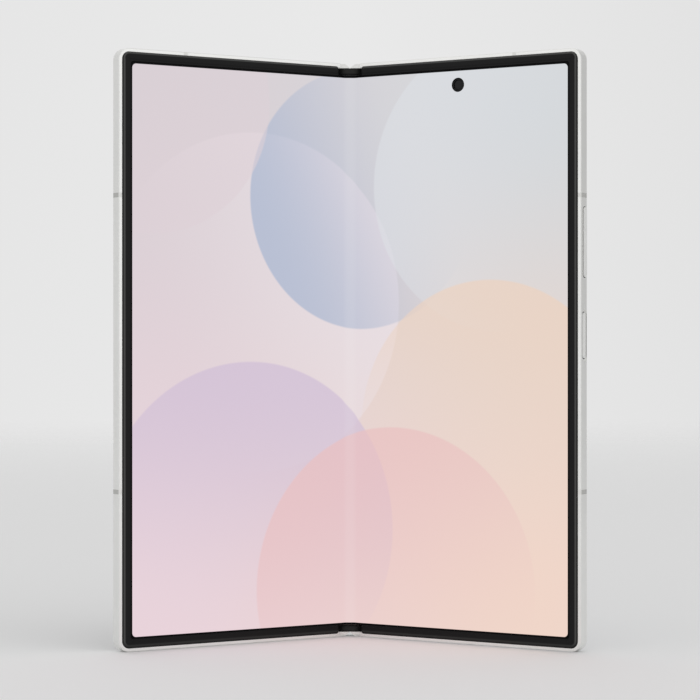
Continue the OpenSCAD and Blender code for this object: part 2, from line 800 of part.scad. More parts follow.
module swing_arm(phase) {
    color("#a9acb0") {
        translate([arm_x, gear_d, module_z + gear_z0]) difference() {
            linear_extrude(gear_w) gear_outline(phase);
            translate([0, 0, -eps]) cylinder(r = shaft_r + run_gap, h = gear_w + 2 * eps);
        }
        difference() {
            along_hinge(module_z + arm_z0, module_z + arm_z0 + arm_w) {
                translate([arm_x, gear_d]) circle(gear_root_r);
                polygon([
                    [arm_x - arm_half_w, gear_d], [arm_x + arm_half_w, gear_d],
                    [arm_x + arm_shoulder, arm_neck_d + arm_neck_t],
                    [arm_pin_x - arm_boss_r, arm_neck_d + arm_neck_t],
                    [arm_pin_x - arm_boss_r, arm_pin_d], [arm_pin_x + arm_boss_r, arm_pin_d],
                    [arm_pin_x + arm_boss_r, arm_neck_d], [arm_x + arm_shoulder / 3, arm_neck_d]
                ]);
                translate([arm_pin_x, arm_pin_d]) circle(arm_boss_r);
            }
            translate([arm_x, gear_d, module_z + arm_z0 - eps])
                cylinder(r = shaft_r + run_gap, h = arm_w + 2 * eps);
        }
        translate([arm_pin_x, arm_pin_d, module_z + arm_z0 - pin_overhang])
            cylinder(r = arm_pin_r, h = arm_w + 2 * pin_overhang);
    }
}

module right_swing_arms() {
    on_spine() turn_about(arm_x, gear_d, -rest_tilt) top_and_bottom() swing_arm(180 / gear_teeth);
}
module left_swing_arms() {
    on_spine() mirror([1, 0, 0]) turn_about(arm_x, gear_d, -rest_tilt)
        top_and_bottom() swing_arm(0);
}

module idler_gear(x, angle) {
    color("#a9acb0") on_spine() top_and_bottom()
        translate([x, gear_d, module_z + gear_z0]) difference() {
            linear_extrude(gear_w) gear_outline(angle);
            translate([0, 0, -eps]) cylinder(r = shaft_r + run_gap, h = gear_w + 2 * eps);
        }
}
module left_idler_gears() { idler_gear(-gear_r, 180 / gear_teeth - rest_tilt); }
module right_idler_gears() { idler_gear(gear_r, rest_tilt); }

// Left leaf

module left_frame() {
    color("#d9d9d7") on_left_leaf() stand() difference() {
        frame_blank(cover_panel_d);
        break_strips();
        tray_opening();
        sound_holes(earpiece_x, body_h, 4);
        for (z = [0, body_h]) mic_hole(left_mic_x, z);
    }
}
module left_bezel() { on_left_leaf() bezel(); }
module left_screen_panel() {
    color("#c9b9c6") on_left_leaf() stand() layer(panel_d, backing_d) screen_outline(fold_half_w);
}
module left_backing_plate() {
    color("#8d9094") on_left_leaf() stand() layer(backing_d, plate_d) screen_outline(fold_half_w);
}
module left_antenna_breaks() { on_left_leaf() stand() antenna_breaks(cover_panel_d); }
module left_hinge_bracket_top() { on_left_leaf() hinge_bracket(rail_b, rail_d); }
module left_hinge_bracket_bottom() { on_left_leaf() at_bottom() hinge_bracket(rail_b, rail_d); }
module left_bracket_screws() { on_left_leaf() bracket_screws(); }

// Outline of the glass or the panel that fills the frame's back, with a gap all round
module skin_outline(gap, r) {
    plate_outline(hinge_rail_w + gap, leaf_w - back_rim_w - gap, back_rim_w + gap,
        body_h - back_rim_w - gap, r, corner_r - back_rim_w - gap);
}

module cover_glass() {
    color("#17181b") on_left_leaf() stand() layer(glass_d, leaf_t) skin_outline(glass_gap, 0.35);
}
module cover_screen_panel() {
    color("#202124") on_left_leaf() stand() layer(cover_panel_d, glass_d) difference() {
        skin_outline(3 * skin_gap, 0.3);
        translate([cover_cam_x, cover_cam_z]) circle(cover_cam_r + 4 * skin_gap);
    }
}
module cover_camera() {
    color("#1d1e21") on_left_leaf() stand() {
        layer(inside_d, cover_panel_d - skin_gap)
            pad_outline(cover_cam_x, cover_cam_z, cover_cam_box, cover_cam_box, 0.5);
        translate([cover_cam_x, cover_cam_z, -glass_d])
            cylinder(r = cover_cam_r, h = glass_d - inside_d);
    }
}
module earpiece() {
    z1 = body_h - wall_t - skin_gap;
    color("#2a2b2e") on_left_leaf() stand() layer(inside_d, cover_panel_d - skin_gap)
        plate_outline(earpiece_x - sound_pitch, earpiece_x + 4 * sound_pitch,
            z1 - earpiece_h, z1, sound_r, sound_r);
}
module left_battery() {
    color("#3a3c40") on_left_leaf() stand() layer(inside_d, cover_panel_d - skin_gap)
        plate_outline(inner_x0, leaf_w - wall_t - 6, battery_z0, left_board_z0 - battery_gap,
            battery_r, battery_r);
}

// Board with three packages in a row
module left_board() {
    x1 = leaf_w - wall_t - 4;
    cell = (x1 - inner_x0) / 3;
    chip_h = left_board_h - 9;
    color("#1f5a46") on_left_leaf() stand() {
        layer(inside_d, inside_d + board_t)
            plate_outline(inner_x0, x1, left_board_z0, left_board_z1, 1, 1);
        layer(inside_d + board_t, cover_panel_d - part_gap / 2) for (i = [0:2])
            pad_outline(inner_x0 + (i + 0.5) * cell, left_board_z0 + left_board_h / 2,
                cell - 4, chip_h, 0.4);
    }
}

// Card tray: a face flush with the top wall, and a carrier with a card well
module tray_opening() {
    translate([tray_x, body_h - wall_t / 2, -mid_d]) rotate([90, 0, 0])
        linear_extrude(wall_t + 2 * eps, center = true)
            slot_outline(tray_w + 2 * key_gap, tray_t + 2 * key_gap);
}
module card_tray() {
    color("#d2d2d0") on_left_leaf() stand() difference() {
        union() {
            intersection() {
                leaf_body();
                translate([tray_x, body_h, -mid_d]) rotate([90, 0, 0])
                    linear_extrude(wall_t) slot_outline(tray_w, tray_t);
            }
            layer(mid_d - tray_half_t, mid_d + tray_half_t)
                plate_outline(tray_x - tray_w / 2 + tray_side, tray_x + tray_w / 2 - tray_side,
                    body_h - wall_t - tray_len, body_h - wall_t + 2 * tray_gap, 0.8, 0.8);
        }
        layer(mid_d - tray_gap / 2, mid_d + tray_half_t + eps)
            pad_outline(tray_x, body_h - wall_t - tray_len / 2, tray_w - 5 * tray_side,
                tray_len - 4 * tray_side, 0.5);
        translate([tray_x + tray_w / 2 - eject_in, body_h, -mid_d]) rotate([90, 0, 0])
            cylinder(r = eject_r, h = 4 * wall_t, center = true);
    }
}
module tray_reader() {
    half_w = tray_w / 2 + 4 * tray_gap;
    slot_half_w = tray_w / 2 - tray_side + tray_gap;
    color("#a5a8ab") on_left_leaf() stand() difference() {
        layer(inside_d, cover_panel_d - skin_gap)
            plate_outline(tray_x - half_w, tray_x + half_w, reader_z0, body_h - wall_t - skin_gap, 0, 0);
        layer(mid_d - tray_half_t - tray_gap, mid_d + tray_half_t + tray_gap)
            plate_outline(tray_x - slot_half_w, tray_x + slot_half_w,
                body_h - wall_t - tray_len - tray_gap, body_h, 0, 0);
    }
}

// Right leaf

// Rib on the frame that backs up the key switches
module switch_rib() {
    layer(plate_d, rib_back_d) plate_outline(switch_wall_x - rib_t, switch_wall_x,
        power_z - strip_end - eps, rocker_z + rocker_len / 2 + eps, 0, 0);
}

module key_opening(z, len) {
    translate([leaf_w - wall_t / 2, z, -mid_d]) rotate([90, 0, 90])
        linear_extrude(wall_t + eps, center = true)
            slot_outline(len + 2 * key_gap, key_w + 2 * key_gap);
}

// Shallow scoop in the wall round the power key, so that a thumb finds it
module power_scoop() {
    translate([leaf_w, power_z, -mid_d]) rotate([90, 0, 90])
        linear_extrude(2 * scoop_depth, center = true)
            slot_outline(power_len + 2 * scoop_end, key_w + 2 * scoop_gap);
}

module right_frame() {
    color("#d9d9d7") on_right_leaf() stand() {
        difference() {
            frame_blank(glass_d);
            break_strips();
            key_opening(rocker_z, rocker_len);
            key_opening(power_z, power_len);
            power_scoop();
            translate([inner_cam_x, inner_cam_z, -inside_d - cover_fit])
                cylinder(d = inner_lens_d + 2 * skin_gap, h = inside_d);
            translate([port_x, usb_depth, -mid_d]) rotate([90, 0, 0]) linear_extrude(usb_depth + eps)
                slot_outline(usb_w + 2 * (usb_shell_t + port_gap), usb_h + 2 * usb_shell_t);
            sound_holes(speaker_x, 0, 6);
            sound_holes(speaker_x, body_h, 4);
            for (z = [0, body_h]) mic_hole(port_x - port_side, z);
        }
        switch_rib();
    }
}
module right_bezel() { on_right_leaf() bezel(); }
module right_screen_panel() {
    color("#c9b9c6") on_right_leaf() stand() layer(panel_d, backing_d) difference() {
        screen_outline(fold_half_w);
        translate([inner_cam_x, inner_cam_z]) circle(d = inner_cam_hole);
    }
}
module right_backing_plate() {
    color("#8d9094") on_right_leaf() stand() layer(backing_d, plate_d) difference() {
        screen_outline(fold_half_w);
        translate([inner_cam_x, inner_cam_z]) circle(d = inner_cam_hole);
    }
}
module right_antenna_breaks() { on_right_leaf() stand() antenna_breaks(glass_d); }
module right_hinge_bracket_top() { on_right_leaf() hinge_bracket(rail_a, rail_c); }
module right_hinge_bracket_bottom() { on_right_leaf() at_bottom() hinge_bracket(rail_a, rail_c); }
module right_bracket_screws() { on_right_leaf() bracket_screws(); }

camera_z = [for (i = [0:2]) cam_top - i * camera_pitch];
module island_outline(extra) {
    translate([cam_x, cam_top - camera_pitch])
        slot_outline(island_w + 2 * extra, island_w + 2 * camera_pitch + 2 * extra);
}

module rear_glass() {
    color("#cfd2d6") on_right_leaf() stand() layer(glass_d, leaf_t) difference() {
        skin_outline(glass_gap, 0.35);
        island_outline(glass_gap);
        translate([flash_x, flash_z]) circle(d = flash_d + 2 * glass_gap);
    }
}

// Half section of the island's edge, rounded at the outside
module island_profile() {
    round_r = 0.5;
    top = leaf_t + island_rise;
    translate([0, -top + round_r]) square([island_w / 2, top - round_r - glass_d]);
    translate([0, -top]) square([island_w / 2 - round_r, top - glass_d]);
    translate([island_w / 2 - round_r, -top + round_r]) circle(round_r);
}
module camera_island() {
    mid_len = 2 * camera_pitch;
    color("#d6d6d4") on_right_leaf() stand() difference() {
        union() {
            translate([cam_x, cam_top, 0]) rotate_extrude(angle = 180) island_profile();
            translate([cam_x, cam_top - mid_len, 0])
                rotate_extrude(angle = 180, start = 180) island_profile();
            translate([cam_x, cam_top, 0]) rotate([90, 0, 0]) linear_extrude(mid_len) {
                island_profile();
                mirror([1, 0]) island_profile();
            }
        }
        for (z = camera_z) translate([cam_x, z, -leaf_t - island_rise - eps])
            cylinder(d = camera_bore, h = island_rise + glass_t + 2 * eps);
    }
}
module lens_rings() {
    d0 = leaf_t + island_rise;
    color("#2f3135") on_right_leaf() stand() for (z = camera_z) translate([cam_x, z, -d0])
        rotate_extrude() polygon([
            [lens_d / 2, 0], [ring_d / 2, 0], [ring_d / 2, -ring_rise + ring_edge],
            [ring_d / 2 - ring_edge, -ring_rise], [lens_d / 2 + ring_edge, -ring_rise],
            [lens_d / 2, -ring_rise + ring_edge]
        ]);
}
module lens_windows() {
    d0 = leaf_t + island_rise;
    color("#0b0c0f") on_right_leaf() stand() for (z = camera_z)
        translate([cam_x, z, -d0 - ring_rise + ring_edge])
            cylinder(d = lens_d - 2 * port_gap, h = ring_rise - ring_edge);
}
module camera_modules() {
    color("#1b1c1f") on_right_leaf() stand() for (z = camera_z) {
        layer(inside_d, glass_d - glass_gap) pad_outline(cam_x, z, camera_box, camera_box, 0.6);
        translate([cam_x, z, -barrel_d])
            cylinder(d = camera_bore - 6 * skin_gap, h = barrel_d - inside_d);
    }
}
module flash_window() {
    color("#f1e9cf") on_right_leaf() stand() translate([flash_x, flash_z, -leaf_t])
        cylinder(d = flash_d, h = glass_t + 3 * skin_gap);
}
module inner_camera() {
    color("#141518") on_right_leaf() stand() {
        layer(inside_d, glass_d - 4 * skin_gap)
            pad_outline(inner_cam_x, inner_cam_z, inner_cam_box, inner_cam_box, 0.5);
        translate([inner_cam_x, inner_cam_z, -inside_d - skin_gap])
            cylinder(d = inner_lens_d, h = inside_d - panel_d);
    }
}
module right_battery() {
    color("#3a3c40") on_right_leaf() stand() layer(inside_d, glass_d - coil_t - glass_gap)
        plate_outline(inner_x0, switch_wall_x - 2 * rib_t, battery_z0, board_z0 - battery_gap,
            battery_r, battery_r);
}

// Board beside the cameras, notched round the inner camera
module main_board() {
    color("#1f5a46") on_right_leaf() stand() layer(inside_d, inside_d + board_t) {
        plate_outline(inner_x0, board_x1, board_z0, inner_cam_z - inner_cam_box / 2 - part_gap, 1, 1);
        plate_outline(inner_x0, inner_cam_x - inner_cam_box / 2 - part_gap, board_z0,
            body_h - wall_t - part_gap, 1, 1);
    }
}

// Metal lids over the board's two columns of chips
module shield_cans() {
    x_mid = (inner_x0 + board_x1) / 2;
    z_top = flash_z - flash_d;
    z_mid = board_z0 + (z_top - board_z0) / 2;
    color("#b9bcc0") on_right_leaf() stand()
        layer(inside_d + board_t, glass_d - coil_t - 2 * skin_gap) {
            plate_outline(inner_x0 + can_gap, x_mid - can_gap, board_z0 + can_gap, z_mid - can_gap,
                0.6, 0.6);
            plate_outline(inner_x0 + can_gap, x_mid - can_gap, z_mid, z_top, 0.6, 0.6);
            plate_outline(x_mid, board_x1 - can_gap, board_z0 + 3 * can_gap, z_top, 0.6, 0.6);
        }
}
module charging_coil() {
    color("#b87333") on_right_leaf() stand()
        translate([(bracket_x + leaf_w) / 2, (battery_z0 + board_z0 - battery_gap) / 2, 0])
            layer(glass_d - coil_t, glass_d) difference() {
                circle(coil_r);
                circle(coil_in_r);
            }
}

// Charging port: a steel shell with round ends, closed at the back, and its tongue
module charging_port() {
    lip_set_back = 0.3;
    back_t = 0.5;
    color("#a9acb0") on_right_leaf() stand() translate([port_x, usb_depth, -mid_d]) rotate([90, 0, 0]) {
        difference() {
            linear_extrude(usb_depth - lip_set_back)
                slot_outline(usb_w + 2 * usb_shell_t, usb_h + 2 * usb_shell_t);
            translate([0, 0, back_t]) linear_extrude(usb_depth) slot_outline(usb_w, usb_h);
        }
        tongue_w = usb_w - usb_h + tongue_t;
        translate([-tongue_w / 2, -tongue_t / 2, back_t - skin_gap])
            cube([tongue_w, tongue_t, usb_depth - 3 * back_t]);
    }
}
module loudspeaker() {
    x0 = speaker_x - sound_pitch;
    z0 = wall_t + skin_gap;
    color("#2a2b2e") on_right_leaf() stand() layer(inside_d, glass_d - 2 * skin_gap)
        plate_outline(x0, x0 + speaker_w, z0, z0 + speaker_h, 0.8, 0.8);
}
module vibration_motor() {
    x1 = port_x - port_side + 1;
    z0 = wall_t + 4;
    color("#9a9da1") on_right_leaf() stand() layer(inside_d, glass_d - 2 * skin_gap)
        plate_outline(x1 - motor_w, x1, z0, z0 + motor_h, 1, 1);
}

// Flexible strip with the three dome switches under the two keys
module key_switches() {
    color("#b5762c") on_right_leaf() stand() {
        translate([switch_wall_x, power_z - strip_end, -rib_back_d + skin_gap])
            cube([strip_t, rocker_z + rocker_len / 2 - power_z + strip_end, strip_w]);
        for (z = [power_z, rocker_z - switch_pitch / 2, rocker_z + switch_pitch / 2])
            translate([switch_wall_x + strip_t, z, -mid_d]) rotate([0, 90, 0])
                cylinder(r1 = dome_r, r2 = dome_r * 0.6, h = dome_t);
    }
}

// A key: its head in the wall, a flange behind it, and nubs over the switches
module key(z, len, rise, nubs) {
    head_x = leaf_w - wall_t - flange_t;
    nub_x = switch_wall_x + strip_t + dome_t + key_travel + cover_fit;
    translate([0, z, -mid_d]) {
        rotate([90, 0, 90]) translate([0, 0, head_x])
            linear_extrude(leaf_w + rise - head_x) slot_outline(len, key_w);
        rotate([90, 0, 90]) translate([0, 0, head_x])
            linear_extrude(flange_t - 2 * cover_fit) slot_outline(len + 1, key_w);
        for (n = nubs) translate([nub_x, n, 0]) rotate([0, 90, 0])
            cylinder(r = nub_r, h = head_x - nub_x + skin_gap);
    }
}
module volume_rocker() {
    color("#cfcfcd") on_right_leaf() stand() key(rocker_z, rocker_len, key_rise,
        [-switch_pitch / 2, switch_pitch / 2]);
}
module power_key() {
    color("#c9c9c7") on_right_leaf() stand() key(power_z, power_len, -key_sink, [0]);
}

hinge_cover();
hinge_cap_top();
hinge_cap_bottom();
hinge_block_top();
hinge_block_bottom();
gear_shafts();
friction_springs();
hinge_screws();
hinge_flex_cable();
on_spine() mirror([1, 0, 0]) screen_fold();  // screen_fold_left
on_spine() screen_fold();  // screen_fold_right
left_frame();
left_bezel();
left_screen_panel();
left_backing_plate();
left_antenna_breaks();
left_hinge_bracket_top();
left_hinge_bracket_bottom();
left_bracket_screws();
cover_glass();
cover_screen_panel();
cover_camera();
earpiece();
left_battery();
left_board();
tray_reader();
card_tray();
right_frame();
right_bezel();
right_screen_panel();
right_backing_plate();
right_antenna_breaks();
right_hinge_bracket_top();
right_hinge_bracket_bottom();
right_bracket_screws();
rear_glass();
camera_island();
lens_rings();
lens_windows();
camera_modules();
flash_window();
inner_camera();
right_battery();
main_board();
shield_cans();
charging_coil();
charging_port();
loudspeaker();
vibration_motor();
key_switches();
volume_rocker();
power_key();
left_swing_arms();
right_swing_arms();
left_idler_gears();
right_idler_gears();
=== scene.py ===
import json
import math

import bpy
import numpy as np
from mathutils import Matrix, Vector


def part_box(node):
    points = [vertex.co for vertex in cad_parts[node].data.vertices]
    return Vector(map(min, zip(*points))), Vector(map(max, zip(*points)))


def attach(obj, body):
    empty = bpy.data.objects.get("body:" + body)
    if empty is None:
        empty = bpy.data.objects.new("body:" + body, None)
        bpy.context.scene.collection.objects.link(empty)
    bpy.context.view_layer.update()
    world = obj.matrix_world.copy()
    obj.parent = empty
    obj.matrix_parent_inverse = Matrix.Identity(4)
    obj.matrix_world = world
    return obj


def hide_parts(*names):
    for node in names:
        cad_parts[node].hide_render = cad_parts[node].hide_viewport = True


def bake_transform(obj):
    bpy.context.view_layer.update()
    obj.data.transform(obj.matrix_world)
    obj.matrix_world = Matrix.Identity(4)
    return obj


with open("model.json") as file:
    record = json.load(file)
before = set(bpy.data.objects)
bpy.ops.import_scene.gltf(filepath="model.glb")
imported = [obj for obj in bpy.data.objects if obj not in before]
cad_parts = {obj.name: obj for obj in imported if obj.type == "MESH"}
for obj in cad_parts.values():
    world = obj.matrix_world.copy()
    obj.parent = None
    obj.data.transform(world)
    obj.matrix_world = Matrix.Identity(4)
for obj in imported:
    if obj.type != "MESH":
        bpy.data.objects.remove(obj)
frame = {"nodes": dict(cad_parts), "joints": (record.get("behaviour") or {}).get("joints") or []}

# A foldable smartphone, partly open like a book and standing on its lower edge. The stage is
# cleared first.
for name in ("Cube", "Light", "Camera"):
    if name in bpy.data.objects:
        bpy.data.objects.remove(bpy.data.objects[name])
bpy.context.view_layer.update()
bpy.ops.object.select_all(action="DESELECT")

# Leaf frames
# Each leaf of the phone has a frame milled from one plate of aluminium. It is blasted with
# fine glass beads and anodised a warm silver white, and everything else is fixed to it.
MM = 0.001
LEFT, RIGHT = -1, 1


def linear(hex_colour):
    """The linear colour of an sRGB hex value."""
    channels = [int(hex_colour[i : i + 2], 16) / 255 for i in (0, 2, 4)]
    return [c / 12.92 if c <= 0.04045 else ((c + 0.055) / 1.055) ** 2.4 for c in channels] + [1]


def add(material, kind, sockets=None, **settings):
    """Adds a node with its settings. A socket takes a value, a node, or a node and an output."""
    node = material.node_tree.nodes.new(kind)
    for name, value in settings.items():
        setattr(node, name, value)
    for name, value in (sockets or {}).items():
        if isinstance(value, bpy.types.Node):
            value = (value, 0)
        if isinstance(value, tuple) and isinstance(value[0], bpy.types.Node):
            material.node_tree.links.new(value[0].outputs[value[1]], node.inputs[name])
        else:
            node.inputs[name].default_value = value
    return node


def new_finish(name, **sockets):
    """A material with one Principled shader. A socket's name is written with _ for a space."""
    material = bpy.data.materials.new(name)
    material.use_nodes = True
    material.node_tree.nodes.clear()
    shader = add(material, "ShaderNodeBsdfPrincipled")
    for socket, value in sockets.items():
        shader.inputs[socket.replace("_", " ").title().replace("Ior", "IOR")].default_value = value
    output = add(material, "ShaderNodeOutputMaterial")
    material.node_tree.links.new(shader.outputs["BSDF"], output.inputs["Surface"])
    return material, shader


def tint(material, shader, light, dark, patch_mm, stretch=(1, 1, 1)):
    """Lets the colour drift between two tones, in soft patches of a real size."""
    place = add(material, "ShaderNodeTexCoord")
    laid = add(material, "ShaderNodeMapping", {"Vector": (place, "Object"), "Scale": stretch})
    patches = add(material, "ShaderNodeTexNoise",
                  {"Vector": laid, "Scale": 1 / (patch_mm * MM), "Detail": 3.0, "Roughness": 0.55})
    spread = add(material, "ShaderNodeMapRange",
                 {"Value": patches, "From Min": 0.3, "From Max": 0.7})
    tone = add(material, "ShaderNodeMix",
               {"Factor": spread, "A": linear(dark), "B": linear(light)}, data_type="RGBA")
    material.node_tree.links.new(tone.outputs["Result"], shader.inputs["Base Color"])


def grain(material, shader, grain_mm, height_mm, smooth, rough, stretch=(1, 1, 1)):
    """Gives the surface a grain of a real size, in its height and in its gloss."""
    place = add(material, "ShaderNodeTexCoord")
    laid = add(material, "ShaderNodeMapping", {"Vector": (place, "Object"), "Scale": stretch})
    pits = add(material, "ShaderNodeTexNoise",
               {"Vector": laid, "Scale": 1 / (grain_mm * MM), "Detail": 4.0, "Roughness": 0.6})
    gloss = add(material, "ShaderNodeMapRange",
                {"Value": pits, "From Min": 0.3, "From Max": 0.7, "To Min": smooth,
                 "To Max": rough})
    relief = add(material, "ShaderNodeBump",
                 {"Height": pits, "Distance": height_mm * MM, "Strength": 0.5})
    material.node_tree.links.new(gloss.outputs[0], shader.inputs["Roughness"])
    material.node_tree.links.new(relief.outputs[0], shader.inputs["Normal"])


def dress(material, *nodes):
    """Gives CAD nodes a finish."""
    for name in nodes:
        mesh = frame["nodes"][name].data
        mesh.materials.clear()
        mesh.materials.append(material)


# Anodised aluminium, bead blasted: a soft metal sheen with no mirror image. The beads' pits
# are a few hundredths of a millimetre wide, and are drawn 0.12 mm wide so that they show.
frame_metal, shader = new_finish("anodised_aluminium", metallic=1.0)
tint(frame_metal, shader, "F4F4F2", "F0F0EE", 14)
grain(frame_metal, shader, 0.12, 0.003, 0.3, 0.38)
dress(frame_metal, "left_frame", "right_frame")

# Both leaves are dressed in one frame of reference, the right leaf laid flat: x from the hinge
# line, y back from the bezel's front, z up. Its fold axis, angle and front come from the CAD.
joints = {joint["name"]: joint for joint in frame["joints"]}
rest_tilt = -math.radians(joints["right_fold"]["range_deg"][0])
fold_axis = Vector(joints["right_fold"]["pos_m"])


def turned(point, angle):
    """A point of the flat right leaf, turned about the fold axis by an angle."""
    return fold_axis + Matrix.Rotation(-angle, 3, "Z") @ (point - fold_axis)


bezel_front = min(turned(v.co, -rest_tilt).y for v in frame["nodes"]["right_bezel"].data.vertices)
unfold = (Matrix.Translation((0, -bezel_front, 0)) @ Matrix.Translation(fold_axis)
          @ Matrix.Rotation(rest_tilt, 4, "Z") @ Matrix.Translation(-fold_axis))
flat_from_world = {side: unfold @ Matrix.Diagonal((side, 1, 1, 1)) for side in (LEFT, RIGHT)}

# Antenna breaks
# Narrow strips of plastic that part the frame's walls, so that the aerials can radiate. They are
# moulded into slots in the metal and milled flush with it, and look a shade darker on the walls.
BREAK_LIT_DEPTH = 0.15 * MM
BREAK_SHADE_DEPTH = 0.7 * MM
# Moulded polyester: a milky plastic with a fine grain. Its front rim is painted pale, as painted
# light where the front takes the light, and behind the rim it is painted darker, as painted shade on
# the walls. The depth behind the rim is read off either leaf.
break_plastic, shader = new_finish("moulded_polyester", ior=1.52)
grain(break_plastic, shader, 0.15, 0.005, 0.42, 0.55)
across, back, _, start = flat_from_world[RIGHT][1]
place = add(break_plastic, "ShaderNodeTexCoord")
split = add(break_plastic, "ShaderNodeSeparateXYZ", {"Vector": (place, "Object")})
off_middle = add(break_plastic, "ShaderNodeMath", {0: (split, "X")}, operation="ABSOLUTE")
back_part = add(break_plastic, "ShaderNodeMath", {0: (split, "Y"), 1: back, 2: start},
                operation="MULTIPLY_ADD")
depth = add(break_plastic, "ShaderNodeMath", {0: off_middle, 1: across, 2: back_part},
            operation="MULTIPLY_ADD")
painted_wall_shade = add(break_plastic, "ShaderNodeMapRange",
                 {"Value": depth, "From Min": BREAK_LIT_DEPTH, "From Max": BREAK_SHADE_DEPTH})
tone = add(break_plastic, "ShaderNodeMix",
           {"Factor": painted_wall_shade, "A": linear("F0F0ED"), "B": linear("BABAB7")},
           data_type="RGBA")
break_plastic.node_tree.links.new(tone.outputs["Result"], shader.inputs["Base Color"])
dress(break_plastic, "left_antenna_breaks", "right_antenna_breaks")

# Hinge cover
# The long metal back of the hinge, which shows between the leaves when the phone is shut. It is
# an extruded aluminium channel, brushed along its length and anodised like the frames.

# Brushed aluminium: fine lines run along it and draw its highlights out.
cover_metal, shader = new_finish("brushed_aluminium", metallic=1.0)
tint(cover_metal, shader, "F0F0EE", "E2E2E0", 1.5, (1, 1, 0.04))
grain(cover_metal, shader, 0.09, 0.003, 0.22, 0.34, (1, 1, 0.02))
dress(cover_metal, "hinge_cover")

# Hinge caps
# Black plastic plugs that close the hinge's two ends, under the frames' end walls. They are
# moulded polyamide, clipped into the cover, with a painted highlight in line with the screen.
HIGHLIGHT_HALF_W = 2.2 * MM
HIGHLIGHT_START, HIGHLIGHT_END = 76.0 * MM, 76.7 * MM
CAP_EDGE_MM = 0.06
MERGE = 0.0005 * MM
SMOOTH_ANGLE = math.radians(35)
frame_middle = (Vector(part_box("left_frame")[0]) + Vector(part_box("left_frame")[1])) / 2
# Moulded polyamide: a deep matt black, but for a painted highlight of dark grey across its middle.
cap_plastic, shader = new_finish("moulded_polyamide", ior=1.53, specular_ior_level=0.1)
grain(cap_plastic, shader, 0.12, 0.004, 0.55, 0.7)
place = add(cap_plastic, "ShaderNodeTexCoord")
split = add(cap_plastic, "ShaderNodeSeparateXYZ", {"Vector": (place, "Object")})
off_middle = add(cap_plastic, "ShaderNodeMath", {0: (split, "X")}, operation="ABSOLUTE")
painted_highlight = add(cap_plastic, "ShaderNodeMapRange",
            {"Value": off_middle, "From Min": 1.3 * HIGHLIGHT_HALF_W, "From Max": 0.5 * HIGHLIGHT_HALF_W})
from_middle = add(cap_plastic, "ShaderNodeMath", {0: (split, "Z"), 1: frame_middle.z},
                  operation="SUBTRACT")
outward = add(cap_plastic, "ShaderNodeMath", {0: from_middle}, operation="ABSOLUTE")
above = add(cap_plastic, "ShaderNodeMapRange",
            {"Value": outward, "From Min": HIGHLIGHT_START, "From Max": HIGHLIGHT_END})
highlight_share = add(cap_plastic, "ShaderNodeMath", {0: painted_highlight, 1: above}, operation="MULTIPLY")
shade = add(cap_plastic, "ShaderNodeMix",
            {"Factor": highlight_share, "A": linear("050505"), "B": linear("2C2C2B")}, data_type="RGBA")
cap_plastic.node_tree.links.new(shade.outputs["Result"], shader.inputs["Base Color"])


def cad_copy(node, name):
    """A CAD node's mesh as a new piece, with its triangles joined into whole faces."""
    bpy.ops.object.select_all(action="DESELECT")
    piece = bpy.data.objects.new(name, frame["nodes"][node].data.copy())
    piece.data.name = name
    bpy.context.scene.collection.objects.link(piece)
    bpy.context.view_layer.objects.active = piece
    piece.select_set(True)
    bpy.ops.mesh.customdata_custom_splitnormals_clear()
    bpy.ops.object.mode_set(mode="EDIT")
    bpy.ops.mesh.select_all(action="SELECT")
    bpy.ops.mesh.remove_doubles(threshold=MERGE)
    bpy.ops.mesh.dissolve_limited(angle_limit=math.radians(0.5))
    bpy.ops.object.mode_set(mode="OBJECT")
    return piece


def smooth_round_parts(piece):
    """Smooths what is round on a piece, and keeps its large faces looking flat."""
    bpy.ops.object.shade_smooth_by_angle(angle=SMOOTH_ANGLE)
    flat_first = piece.modifiers.new("flat_first", "WEIGHTED_NORMAL")
    flat_first.keep_sharp = True
    bpy.ops.object.modifier_apply(modifier=flat_first.name)


def round_sharp_edges(piece, radius_mm, segments=3):
    """Rounds a piece's sharp edges."""
    rounding = piece.modifiers.new("rounding", "BEVEL")
    rounding.width = radius_mm * MM
    rounding.segments = segments
    rounding.limit_method = "ANGLE"
    rounding.angle_limit = math.radians(30)
    bpy.ops.object.modifier_apply(modifier=rounding.name)
    smooth_round_parts(piece)


def seat(piece, body, slot, material, *nodes):
    """Puts a piece on its body, with its finish and the CAD nodes that it stands for. The slot is
    not used.
    """
    piece.data.materials.clear()
    piece.data.materials.append(material)
    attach(piece, body)
    if nodes:
        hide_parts(*nodes)


for end in ("top", "bottom"):
    cap = cad_copy("hinge_cap_" + end, "end_cap_" + end)
    round_sharp_edges(cap, CAP_EDGE_MM)
    seat(cap, "spine", "cap_plastic", cap_plastic, "hinge_cap_" + end)

# Hinge works
# Two modules of sintered and ground steel sit in the cover: blocks with arc grooves, brackets with
# arc rails, four meshed gears in a row, swing arms, and stacks of cupped washers on the shafts.

# Sintered steel: dull grey, with the pits of the pressed powder.
hinge_steel, shader = new_finish("sintered_steel", metallic=1.0)
tint(hinge_steel, shader, "9A9DA1", "84878B", 1.2)
grain(hinge_steel, shader, 0.07, 0.004, 0.34, 0.5)
dress(hinge_steel, "hinge_block_top", "hinge_block_bottom", "left_swing_arms", "right_swing_arms",
      "left_idler_gears", "right_idler_gears", "left_hinge_bracket_top",
      "left_hinge_bracket_bottom", "right_hinge_bracket_top", "right_hinge_bracket_bottom")
# Ground steel: brighter, with fine lines along the shafts.
ground_steel, shader = new_finish("ground_steel", metallic=1.0)
tint(ground_steel, shader, "B4B7BA", "A2A5A9", 0.6, (1, 1, 0.1))
grain(ground_steel, shader, 0.05, 0.002, 0.2, 0.3, (1, 1, 0.05))
dress(ground_steel, "gear_shafts")
